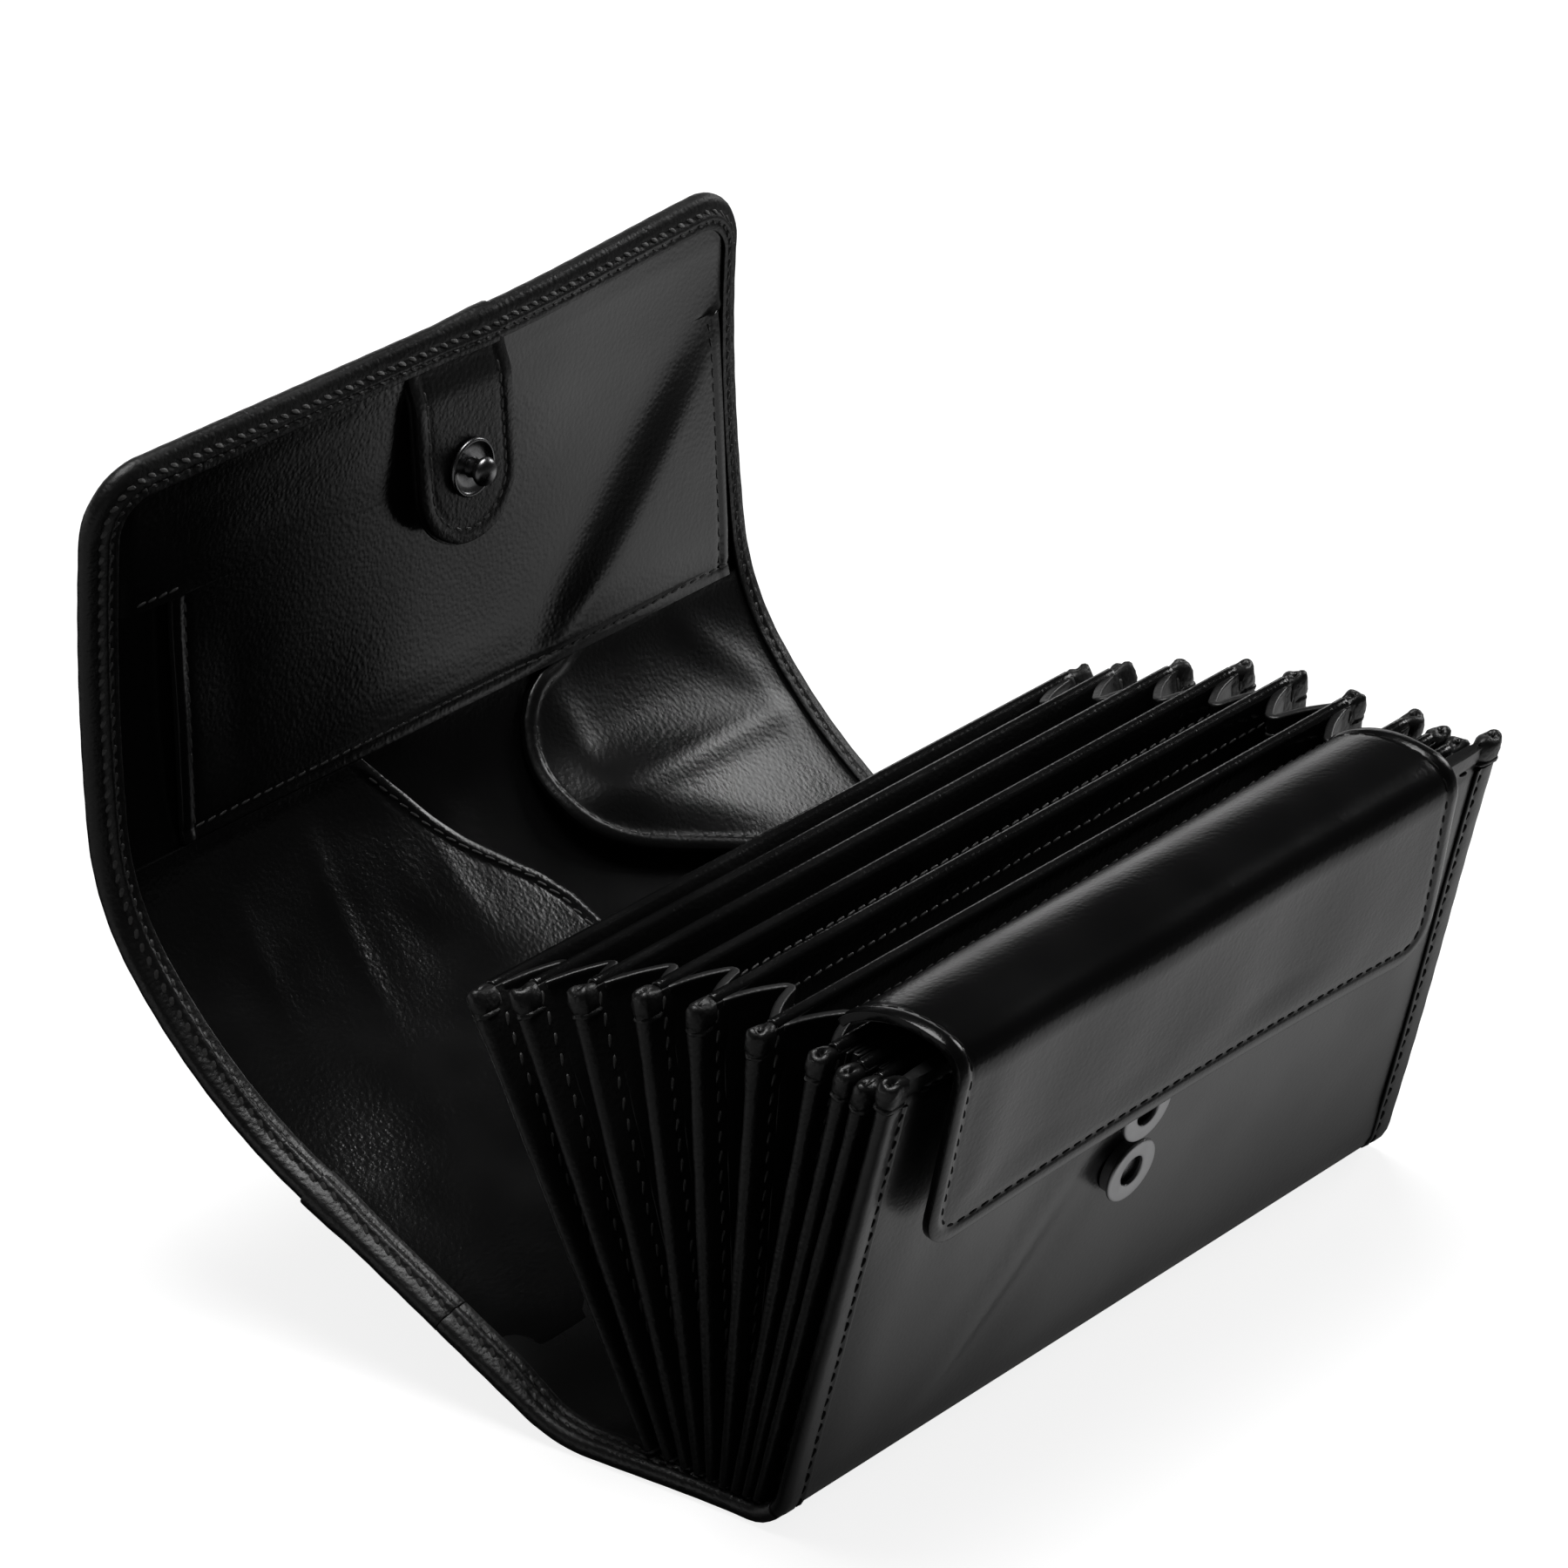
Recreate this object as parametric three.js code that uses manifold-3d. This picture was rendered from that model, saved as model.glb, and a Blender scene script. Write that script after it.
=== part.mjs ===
// Waiter's wallet of black glazed leather, standing open with its cover thrown back.
// Millimetres. X runs along the wallet, +Y towards the opened cover, +Z up. The origin is on
// the floor under the middle of the whole object.
import * as THREE from 'three';
import { mergeVertices } from 'three/addons/utils/BufferGeometryUtils.js';
import Module from 'manifold-3d';

// Overall sizes
const coverWidth = 186;
const coverOverhang = 3;
const panelWidth = coverWidth - 2 * coverOverhang;
const panelHeight = 94.5;
const baseDepth = 42.5;
const seat = 0.3;
const overrun = 4;

// Cover sheet: one leather, from the top of the front panel round the base to the flap's end
const coverThickness = 2.4;
const frontLean = 14;
const frontTopInset = 1.5;
const frontSlope = panelHeight - frontTopInset;
const frontBendRadius = 9;
const backTilt = 25;
const backStraight = 70.5;
const shoulderRun = 50;
const shoulderTurn = 27;
const crownRun = 17;
const crownTurn = 22;
const flapRootRun = 10;
const flapRootTurn = 12;
const flapRun = 74;
const flapTurn = 17;
const flapCornerRadius = 14;

// Accordion of dividers, numbered from the rear
const footPitches = [4.6, 3.8, 2.9, 2.9, 2.9, 2.7, 2.5, 2.5];
const frontFootOffset = 0.8;
const dividerThickness = 1.2;
const hemThickness = 2.8;
const hemHeight = 3.6;
const dividerTilts = [27.6, 23.2, 16.2, 8.4, 2.5, -4.1, -10.7, -12.9, -14];
const dividerHeightShares = [0.945, 0.957, 0.97, 0.99, 1, 1, 1.015, 1.008, 1.002];
const footSwing = 12;

// Binding folded round each divider's side edge
const bindingWidth = 7.2;
const bindingFootThickness = 2.2;
const bindingShoulderThickness = 3.5;
const bindingCapThickness = 3.8;
const bindingCapHeight = 5;
const bindingCapRise = 1;
const bindingEdgeWall = 1.5;

// Folded gussets between neighbouring dividers
const gussetThickness = 0.5;
const gussetLeg = 13.5;
const gussetFootRise = 12;
const lastGusset = 8;
const gussetSteps = 5;

// Coin flap over the front compartments
const coinFlapWidth = 152;
const coinLeatherThickness = 1.3;
const coinLiningThickness = 0.6;
const coinRootHeading = 125;
const coinCrownHeading = 170;
const coinRootRadius = 6;
const coinCrownTurn = 30;
const coinShoulderRadius = 4.5;
const coinDrop = 40;
const coinCornerRadius = 9;
const coinFrontGap = 3.7;

// Ring sockets on the front panel
const socketRadius = 6.7;
const socketMouthRadius = 3.1;
const socketHeight = 3;
const socketWall = 0.9;
const socketFloor = 0.7;
const socketSpacing = 14;
const lowerSocketDrop = 55;
const socketOffset = -7;
const postRadius = 2.2;
const postFlangeRadius = 5.4;
const postFlangeThickness = 0.5;
const springWire = 0.35;
const springGap = 50;

// Stud on its tab at the flap's end
const tabWidth = 27;
const tabLength = 37;
const tabThickness = 1.6;
const tabSkewAngle = 4;
const tabTipWidth = 2;
const tabEndInset = 7;
const studBaseRadius = 6;
const studBaseThickness = 0.9;
const studBallRadius = 2.9;
const studBallHalfHeight = 1.6;
const studBallSteps = 6;
const studNeckRadius = 1.9;
const studHeight = 5.2;
const studPostRadius = 1.2;
const studFromTabTip = 15.5;

// Inner pockets of the cover
const pocketThickness = 1.2;
const edgeStripWidth = 6;
const documentNotchWidth = 20;
const documentRightInset = 6;
const documentNotchRise = 51;
const documentTopInset = 10.5;
const leftPocketFoot = 34;
const leftPocketMouth = 8.8;
const leftPocketShift = 30;
const leftPocketShiftStart = 92;
const leftPocketShiftEnd = 142;
const leftPocketSwell = 3;
const rightPocketFoot = 70;
const rightPocketEdge = 14.6;
const rightPocketKnee = 102;
const rightPocketKneeRound = 6;
const rightPocketSlantShare = 2.2;
const rightPocketShoulder = 20;
const rightPocketSwell = 6;

// Fold of the cover: gaps left where one stiff length meets the next
const foldGap = 0.35;

const wasm = await Module();
wasm.setup();

const radians = THREE.MathUtils.degToRad;
const wallet = new THREE.Group();
const half = (value) => value / 2;

// Finishes
const finish = (color, roughness, metalness) =>
  new THREE.MeshStandardMaterial({ color, roughness, metalness });
const glazedLeather = () => finish(0x0b0b0c, 0.32, 0);
const innerLeather = () => finish(0x101011, 0.5, 0);
const bindingLeather = () => finish(0x141415, 0.55, 0);
const gussetLeather = () => finish(0x0d0d0e, 0.6, 0);
const darkMetal = () => finish(0x2b2b2d, 0.35, 0.9);
const springSteel = () => finish(0x8a8a8c, 0.3, 1);

function addPiece(parent, name, geometry, material) {
  const mesh = new THREE.Mesh(geometry, material);
  mesh.name = name;
  parent.add(mesh);
  return mesh;
}

// Turns a closed mesh into a solid for joining and cutting, and back
function toSolid(geometry) {
  const bare = geometry.clone();
  bare.deleteAttribute('normal');
  bare.deleteAttribute('uv');
  const merged = mergeVertices(bare);
  return new wasm.Manifold(new wasm.Mesh({
    numProp: 3,
    vertProperties: new Float32Array(merged.attributes.position.array),
    triVerts: new Uint32Array(merged.index.array),
  }));
}

function toGeometry(solid) {
  const mesh = solid.getMesh();
  const geometry = new THREE.BufferGeometry();
  geometry.setAttribute('position', new THREE.BufferAttribute(mesh.vertProperties, 3));
  geometry.setIndex(new THREE.BufferAttribute(mesh.triVerts, 1));
  return geometry;
}

// Joins matching rings of points into one closed body. capOutline is the flat outline that
// says how the two end rings are filled.
function loft(rings, capOutline) {
  const count = rings[0].length;
  const positions = rings.flat().flatMap((point) => point.toArray());
  const index = [];
  for (let ring = 0; ring + 1 < rings.length; ring += 1) {
    for (let i = 0; i < count; i += 1) {
      const here = ring * count + i;
      const next = ring * count + (i + 1) % count;
      index.push(here, next, next + count, here, next + count, here + count);
    }
  }
  const last = (rings.length - 1) * count;
  const mirrored = THREE.ShapeUtils.isClockWise(capOutline);
  const fill = mirrored ? capOutline.map((point) => new THREE.Vector2(-point.x, point.y)) : capOutline;
  for (const [a, b, c] of THREE.ShapeUtils.triangulateShape(fill, [])) {
    index.push(a, c, b, last + a, last + b, last + c);
  }
  return facingOut(positions, index);
}

function facingOut(positions, index) {
  const corner = (i) => new THREE.Vector3().fromArray(positions, 3 * i);
  let volume = 0;
  for (let i = 0; i < index.length; i += 3) {
    volume += corner(index[i]).dot(corner(index[i + 1]).cross(corner(index[i + 2])));
  }
  const faces = volume > 0 ? index : index.slice().reverse();
  const geometry = new THREE.BufferGeometry();
  geometry.setAttribute('position', new THREE.Float32BufferAttribute(positions, 3));
  geometry.setIndex(faces);
  return geometry;
}

// Closes a sheet whose two sides are given as matching grids of points, row by row
function shell(outer, inner) {
  const columns = outer[0].length;
  const rows = outer.length;
  const at = (row, column) => row * columns + column;
  const under = rows * columns;
  const index = [];
  for (let row = 0; row + 1 < rows; row += 1) {
    for (let column = 0; column + 1 < columns; column += 1) {
      const [a, b] = [at(row, column), at(row, column + 1)];
      const [c, d] = [at(row + 1, column + 1), at(row + 1, column)];
      index.push(a, b, c, a, c, d);
      index.push(under + a, under + c, under + b, under + a, under + d, under + c);
    }
  }
  const rim = [];
  for (let column = 0; column + 1 < columns; column += 1) rim.push(at(0, column));
  for (let row = 0; row + 1 < rows; row += 1) rim.push(at(row, columns - 1));
  for (let column = columns - 1; column > 0; column -= 1) rim.push(at(rows - 1, column));
  for (let row = rows - 1; row > 0; row -= 1) rim.push(at(row, 0));
  rim.forEach((a, i) => {
    const b = rim[(i + 1) % rim.length];
    index.push(b, a, under + a, b, under + a, under + b);
  });
  const points = [...outer.flat(), ...inner.flat()];
  return facingOut(points.flatMap((point) => point.toArray()), index);
}

// A line in the YZ plane made of straight and curved runs, followed from its start.
// Heading is in degrees: 0 points along +Y, 90 points up.
class Profile {
  constructor(start, heading, runs) {
    this.pieces = [];
    let place = start.clone();
    let angle = heading;
    let travelled = 0;
    for (const { run, turn = 0 } of runs) {
      this.pieces.push({ from: travelled, run, turn, start: place, heading: angle });
      place = Profile.along(place, angle, run, turn, run);
      angle += turn;
      travelled += run;
    }
    this.length = travelled;
  }

  static along(start, heading, run, turn, distance) {
    const first = radians(heading);
    if (turn === 0) {
      return new THREE.Vector2(
        start.x + distance * Math.cos(first), start.y + distance * Math.sin(first));
    }
    const radius = run / radians(turn);
    const second = radians(heading + turn * distance / run);
    return new THREE.Vector2(
      start.x + radius * (Math.sin(second) - Math.sin(first)),
      start.y - radius * (Math.cos(second) - Math.cos(first)));
  }

  at(distance) {
    const piece = this.pieces.findLast((item) => item.from <= distance) ?? this.pieces[0];
    const past = distance - piece.from;
    const place = Profile.along(piece.start, piece.heading, piece.run, piece.turn, past);
    return { place, heading: piece.heading + piece.turn * past / piece.run };
  }

  // The point that lies a height above the line, on its left as it is followed
  above(distance, height) {
    const { place, heading } = this.at(distance);
    const side = radians(heading + 90);
    return new THREE.Vector2(
      place.x + height * Math.cos(side), place.y + height * Math.sin(side));
  }

  // Distances where a sheet on this line needs a cross-section
  stations(from, to, stepAngle) {
    const marks = [from, to];
    for (const piece of this.pieces) {
      const steps = Math.max(1, Math.ceil(Math.abs(piece.turn) / stepAngle));
      for (let i = 0; i <= steps; i += 1) {
        marks.push(piece.from + piece.run * i / steps);
      }
    }
    return [...new Set(marks)].filter((mark) => mark >= from && mark <= to)
      .sort((a, b) => a - b);
  }
}

const inSpace = (x, flat) => new THREE.Vector3(x, flat.x, flat.y);

// A sheet that follows a profile. Each station gives its distance and its two side edges;
// bottom and top are heights above the profile, either numbers or functions.
function sheet(profile, stations, bottom, top) {
  const height = (value, station, x) => (typeof value === 'function' ? value(station, x) : value);
  const rings = stations.map((station) => {
    const { distance, left, right } = station;
    const low = height(bottom, station, left);
    const high = height(top, station, left);
    return [
      inSpace(left, profile.above(distance, low)),
      inSpace(right, profile.above(distance, low)),
      inSpace(right, profile.above(distance, high)),
      inSpace(left, profile.above(distance, high)),
    ];
  });
  return loft(rings, unitSquare);
}

const unitSquare = [
  new THREE.Vector2(0, 0), new THREE.Vector2(1, 0), new THREE.Vector2(1, 1), new THREE.Vector2(0, 1),
];

const evenSides = (distances, width) =>
  distances.map((distance) => ({ distance, left: -half(width), right: half(width) }));

// Stations of a rounded end: the sides draw in along a quarter circle of the given radius
function roundedEnd(end, radius, width, steps) {
  const stations = [];
  for (let i = 0; i <= steps; i += 1) {
    const angle = radians(90 * i / steps);
    const side = half(width) - radius * (1 - Math.cos(angle));
    stations.push({
      distance: end - radius * (1 - Math.sin(angle)), left: -side, right: side,
    });
  }
  return stations;
}

// A round piece turned about its own Z axis, from a closed outline of radius and height
function turned(outline, segments) {
  const points = outline.map(([radius, height]) => new THREE.Vector2(radius, height));
  const geometry = new THREE.LatheGeometry([...points, points[0]], segments);
  geometry.rotateX(radians(90));
  return toGeometry(toSolid(geometry));
}

// Cover, from the front panel's top down its outer face and along the floor
const bendStart = 0;
const baseEnd = bendStart + baseDepth;
const frontBendTurn = 90 - frontLean;
const frontProfile = new Profile(
  new THREE.Vector2(baseEnd - foldGap - half(coverThickness), 0), 180, [
    { run: baseDepth - foldGap - half(coverThickness) },
    { run: radians(frontBendTurn) * frontBendRadius, turn: -frontBendTurn },
    { run: frontSlope },
  ]);
const frontTopDistance = frontProfile.length;
const frontFaceStart = frontTopDistance - frontSlope;
// The wallet's inside is on the right of this line as it is followed, so heights are negative
const frontPanel = sheet(
  frontProfile, evenSides(frontProfile.stations(0, frontTopDistance, 13), coverWidth),
  -coverThickness, 0);

// Back and flap: a stiff length each, with a round end where it folds
const foldPivot = new THREE.Vector2(baseEnd, half(coverThickness));
const backRuns = [
  { run: backStraight },
  { run: shoulderRun, turn: shoulderTurn },
  { run: crownRun, turn: crownTurn },
];
const flapRuns = [{ run: flapRootRun, turn: flapRootTurn }, { run: flapRun, turn: flapTurn }];
const coverProfile = new Profile(foldPivot, backTilt, [...backRuns, ...flapRuns]);
const seamDistance = backStraight + shoulderRun + crownRun;
const coverEnd = coverProfile.length;
const flapPivot = coverProfile.at(seamDistance).place;

// Adds the round nose of a sheet at the point it folds about
function withNose(geometry, pivot, width) {
  const nose = new THREE.CylinderGeometry(
    half(coverThickness), half(coverThickness), width, 16);
  nose.rotateZ(radians(90));
  nose.translate(0, pivot.x, pivot.y);
  return toGeometry(toSolid(geometry).add(toSolid(nose)));
}

const backStations = evenSides(
  coverProfile.stations(0, seamDistance - half(coverThickness) - foldGap, 8), coverWidth);
addCover('cover_back', withNose(
  sheet(coverProfile, backStations, -half(coverThickness), half(coverThickness)),
  foldPivot, coverWidth));

const flapStraight = coverProfile.stations(seamDistance, coverEnd - flapCornerRadius, 4);
const flapStations = [
  ...evenSides(flapStraight.slice(0, -1), coverWidth),
  ...roundedEnd(coverEnd, flapCornerRadius, coverWidth, 6),
];

function addCover(name, geometry) {
  return addPiece(wallet, name, geometry, glazedLeather());
}

// Height of the cover's inner face above its middle line, where the pockets lie
const innerFace = half(coverThickness) + seat;

// Sockets: where each stands on the front panel, and how it is fixed through the leather
function onFrontPanel(x, run, height) {
  const distance = frontFaceStart + run;
  const { heading } = frontProfile.at(distance);
  const place = frontProfile.above(distance, height);
  const group = new THREE.Group();
  group.position.copy(inSpace(x, place));
  group.rotation.x = radians(heading);
  return group;
}

const postHole = postRadius + seat;
const socketRuns = [
  ['lower', frontSlope - lowerSocketDrop],
  ['upper', frontSlope - lowerSocketDrop + socketSpacing],
];

function drillFrontPanel(solid) {
  let result = solid;
  for (const [, run] of socketRuns) {
    const drill = new THREE.CylinderGeometry(
      postHole, postHole, coverThickness + overrun, 24);
    drill.rotateX(radians(90));
    const place = onFrontPanel(socketOffset, run, -half(coverThickness));
    place.updateMatrixWorld();
    drill.applyMatrix4(place.matrixWorld);
    result = result.subtract(toSolid(drill));
  }
  return result;
}
addCover('cover_front', toGeometry(drillFrontPanel(toSolid(frontPanel))));

for (const [name, run] of socketRuns) {
  const group = onFrontPanel(socketOffset, run, seat);
  wallet.add(group);
  // Cup with an inward lip, its mouth facing away from the panel
  const lip = socketHeight - socketWall;
  const cup = turned([
    [postHole, 0],
    [socketRadius - socketWall, 0],
    [socketRadius - socketWall, lip],
    [socketRadius, lip],
    [socketRadius, socketHeight],
    [socketMouthRadius, socketHeight],
    [socketMouthRadius, lip],
    [socketRadius - 2 * socketWall, lip],
    [socketRadius - 2 * socketWall, socketFloor],
    [postHole, socketFloor],
  ], 24);
  addPiece(group, `socket_${name}`, cup, darkMetal());

  // Post whose flange lies on the panel's inner side and whose rim holds the cup's floor
  const innerSide = -coverThickness - 2 * seat;
  const rim = socketFloor + seat;
  const post = turned([
    [0, innerSide - postFlangeThickness],
    [postFlangeRadius, innerSide - postFlangeThickness],
    [postFlangeRadius, innerSide],
    [postRadius, innerSide],
    [postRadius, rim],
    [postRadius + socketWall, rim],
    [postRadius + socketWall, rim + postFlangeThickness],
    [0, rim + postFlangeThickness],
  ], 24);
  addPiece(group, `socket_post_${name}`, post, darkMetal());

  // Split ring spring under the lip
  const springRadius = socketRadius - 2 * socketWall - springWire - seat;
  const springPath = new THREE.EllipseCurve(
    0, 0, springRadius, springRadius, radians(springGap), radians(360 - springGap));
  const springLine = new THREE.CatmullRomCurve3(
    springPath.getPoints(16).map((point) => new THREE.Vector3(point.x, point.y, 0)));
  const wire = new THREE.Shape(new THREE.EllipseCurve(
    0, 0, springWire, springWire, 0, 2 * Math.PI).getPoints(6).slice(0, -1));
  const spring = new THREE.ExtrudeGeometry(
    wire, { steps: 20, extrudePath: springLine, bevelEnabled: false });
  const springMesh = addPiece(group, `socket_spring_${name}`, spring, springSteel());
  springMesh.position.z = lip - springWire - seat;
}

// Dividers with their bindings, each pair of pieces on its own tilted foot
const sum = (values) => values.reduce((total, value) => total + value, 0);
const dividers = dividerTilts.map((tilt, i) => ({
  number: i + 1,
  tilt,
  height: panelHeight * dividerHeightShares[i],
  foot: new THREE.Vector2(
    bendStart - frontFootOffset + sum(footPitches.slice(i)),
    coverThickness + seat + half(bindingFootThickness) * Math.sin(radians(Math.abs(tilt) + footSwing))),
}));

// The point at a height up a divider, moved out of its middle plane by an offset to the rear
function onDivider(divider, height, offset) {
  const tilt = radians(divider.tilt);
  return new THREE.Vector2(
    divider.foot.x + height * Math.sin(tilt) + offset * Math.cos(tilt),
    divider.foot.y + height * Math.cos(tilt) - offset * Math.sin(tilt));
}

const hemWidth = panelWidth - 2 * (bindingWidth + seat);
const plateWidth = panelWidth - 2 * (bindingEdgeWall + seat);

function dividerGeometry(height) {
  const plate = new THREE.BoxGeometry(plateWidth, dividerThickness, height);
  plate.translate(0, 0, half(height));
  const hemShape = new THREE.Shape();
  const radius = half(hemThickness);
  hemShape.moveTo(-radius, 0);
  hemShape.lineTo(radius, 0);
  hemShape.lineTo(radius, hemHeight - radius);
  hemShape.absarc(0, hemHeight - radius, radius, 0, Math.PI, false);
  const hem = new THREE.ExtrudeGeometry(
    hemShape, { depth: hemWidth, bevelEnabled: false, curveSegments: 6 });
  hem.rotateX(radians(90));
  hem.rotateZ(radians(90));
  hem.translate(-half(hemWidth), 0, height - hemHeight);
  return toGeometry(toSolid(plate).add(toSolid(hem)));
}

// Cross-section of a binding: a channel open inwards, round outside, on the +X edge
function bindingSection(thickness) {
  const outer = half(panelWidth);
  const inner = outer - bindingWidth;
  const radius = half(thickness);
  const slot = half(dividerThickness) + seat;
  const points = [];
  for (let i = 0; i <= 6; i += 1) {
    const angle = radians(-90 + 180 * i / 6);
    points.push(new THREE.Vector2(
      outer - radius + radius * Math.cos(angle), radius * Math.sin(angle)));
  }
  points.push(
    new THREE.Vector2(inner, radius), new THREE.Vector2(inner, slot),
    new THREE.Vector2(outer - bindingEdgeWall, slot),
    new THREE.Vector2(outer - bindingEdgeWall, -slot),
    new THREE.Vector2(inner, -slot), new THREE.Vector2(inner, -radius));
  return points;
}

function bindingGeometry(height, side) {
  const levels = [
    [0, bindingFootThickness],
    [height - bindingCapHeight, bindingShoulderThickness],
    [height + bindingCapRise, bindingCapThickness],
  ];
  const rings = levels.map(([level, thickness]) => bindingSection(thickness)
    .map((point) => new THREE.Vector3(side * point.x, point.y, level)));
  return loft(rings, bindingSection(bindingCapThickness));
}

const sides = [['left', -1], ['right', 1]];

for (const divider of dividers) {
  const group = new THREE.Group();
  group.position.set(0, divider.foot.x, divider.foot.y);
  group.rotation.x = -radians(divider.tilt);
  wallet.add(group);
  addPiece(group, `divider_${divider.number}`, dividerGeometry(divider.height), innerLeather());
  for (const [name, side] of sides) {
    addPiece(group, `binding_${name}_${divider.number}`,
      bindingGeometry(divider.height, side), bindingLeather());
  }
}

// Gussets: a sheet folded inwards to a V between one divider and the next
const gussetFace = half(dividerThickness) + seat + half(gussetThickness);

// Where a gusset's two ends and its fold lie at one height, seen along the wallet
function gussetPlaces(rear, front, height) {
  const rearEnd = onDivider(rear, height, -gussetFace);
  const frontEnd = onDivider(front, height, gussetFace);
  return { rearEnd, frontEnd, spread: frontEnd.clone().sub(rearEnd) };
}

// Corners of the folded sheet's two sides at one height: rear end, fold, front end
function gussetRing(rear, front, height, side) {
  const { rearEnd, frontEnd, spread } = gussetPlaces(rear, front, height);
  const halfSpread = half(spread.length());
  const across = spread.normalize();
  const depth = Math.sqrt(gussetLeg ** 2 - halfSpread ** 2);
  const mouth = half(panelWidth) - bindingWidth - seat;
  const wall = half(gussetThickness);
  const apex = mouth - depth;
  const fold = rearEnd.clone().add(frontEnd).divideScalar(2);
  const innerTip = Math.min(wall * gussetLeg / halfSpread, half(depth));
  const corner = (x, base, shift) => inSpace(side * x, base.clone().addScaledVector(across, shift));
  return {
    outside: [
      corner(mouth, rearEnd, wall),
      corner(apex + innerTip, fold, 0),
      corner(mouth, frontEnd, -wall),
    ],
    inside: [
      corner(mouth, rearEnd, -wall),
      corner(apex - wall, fold, 0),
      corner(mouth, frontEnd, wall),
    ],
  };
}

for (let i = 0; i < lastGusset; i += 1) {
  const [rear, front] = [dividers[i], dividers[i + 1]];
  const top = Math.min(rear.height, front.height) - hemHeight - seat;
  // The sheet starts where the two dividers stand far enough apart to hold it folded
  const footSpread = gussetPlaces(rear, front, 0).spread.length();
  const topSpread = gussetPlaces(rear, front, top).spread.length();
  const least = 2 * gussetThickness + seat;
  const foot = Math.max(gussetFootRise, top * (least - footSpread) / (topSpread - footSpread));
  for (const [name, side] of sides) {
    const rings = [];
    for (let step = 0; step <= gussetSteps; step += 1) {
      rings.push(gussetRing(rear, front, foot + (top - foot) * step / gussetSteps, side));
    }
    const sheetFolded = shell(rings.map((ring) => ring.outside), rings.map((ring) => ring.inside));
    addPiece(wallet, `gusset_${name}_${rear.number}`, sheetFolded, gussetLeather());
  }
}

// Coin flap: hinged on the rear of the seventh divider's hem, over and down the front
const coinDivider = dividers[6];
const coinRoot = onDivider(coinDivider, coinDivider.height + seat, half(hemThickness) + seat);
const panelTop = frontProfile.at(frontTopDistance).place;
const outward = new THREE.Vector2(-Math.cos(radians(frontLean)), -Math.sin(radians(frontLean)));
const coinShoulderHeading = coinCrownHeading + coinCrownTurn;
const coinDropHeading = 270 + frontLean;

function arcShift(radius, from, to) {
  return new THREE.Vector2(
    radius * (Math.sin(radians(to)) - Math.sin(radians(from))),
    -radius * (Math.cos(radians(to)) - Math.cos(radians(from))));
}
const rootShift = arcShift(coinRootRadius, coinRootHeading, coinCrownHeading);
const shoulderShift = arcShift(coinShoulderRadius, coinShoulderHeading, coinDropHeading);
const bare = coinRoot.clone().add(rootShift).add(shoulderShift).sub(panelTop);
const crownRadius = (coinFrontGap - bare.dot(outward))
  / arcShift(1, coinCrownHeading, coinShoulderHeading).dot(outward);
const coinRootTurn = coinCrownHeading - coinRootHeading;
const coinProfile = new Profile(coinRoot, coinRootHeading, [
  { run: coinRootRadius * radians(coinRootTurn), turn: coinRootTurn },
  { run: crownRadius * radians(coinCrownTurn), turn: coinCrownTurn },
  {
    run: coinShoulderRadius * radians(coinDropHeading - coinShoulderHeading),
    turn: coinDropHeading - coinShoulderHeading,
  },
  { run: coinDrop },
]);
const coinEnd = coinProfile.length;
const coinStations = [
  ...evenSides(coinProfile.stations(0, coinEnd - coinCornerRadius, 12).slice(0, -1), coinFlapWidth),
  ...roundedEnd(coinEnd, coinCornerRadius, coinFlapWidth, 5),
];
// The underside is on the left of this line, so the leather lies at negative heights
addPiece(wallet, 'coin_flap_lining', sheet(coinProfile, coinStations, -coinLiningThickness, 0),
  innerLeather());
addPiece(wallet, 'coin_flap', sheet(coinProfile, coinStations,
  -coinLiningThickness - seat - coinLeatherThickness, -coinLiningThickness - seat),
glazedLeather());

// Flap section of the cover, its document pocket and the tab with the stud
const documentBottom = seamDistance + half(coverThickness) + foldGap;
const documentTop = coverEnd - documentTopInset;
const notchTop = seamDistance + documentNotchRise;
const edgeInset = half(coverWidth) - edgeStripWidth;

const pocketTop = innerFace + pocketThickness;
const documentBody = sheet(
  coverProfile,
  coverProfile.stations(documentBottom, documentTop, 4).map((distance) => ({
    distance, left: -edgeInset, right: edgeInset,
  })), innerFace, pocketTop);
const leftCut = sheet(
  coverProfile,
  coverProfile.stations(documentBottom - overrun, notchTop, 4).map((distance) => ({
    distance, left: -half(coverWidth) - overrun, right: -half(coverWidth) + documentNotchWidth,
  })), innerFace - overrun, pocketTop + overrun);
const rightCut = sheet(
  coverProfile,
  coverProfile.stations(documentBottom - overrun, notchTop, 4).map((distance) => ({
    distance, left: half(coverWidth) - documentRightInset, right: half(coverWidth) + overrun,
  })), innerFace - overrun, pocketTop + overrun);

addCover('cover_flap', withNose(
  sheet(coverProfile, flapStations, -half(coverThickness), half(coverThickness)),
  flapPivot, coverWidth));
addPiece(wallet, 'document_pocket', toGeometry(
  toSolid(documentBody).subtract(toSolid(leftCut)).subtract(toSolid(rightCut))), innerLeather());

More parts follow.
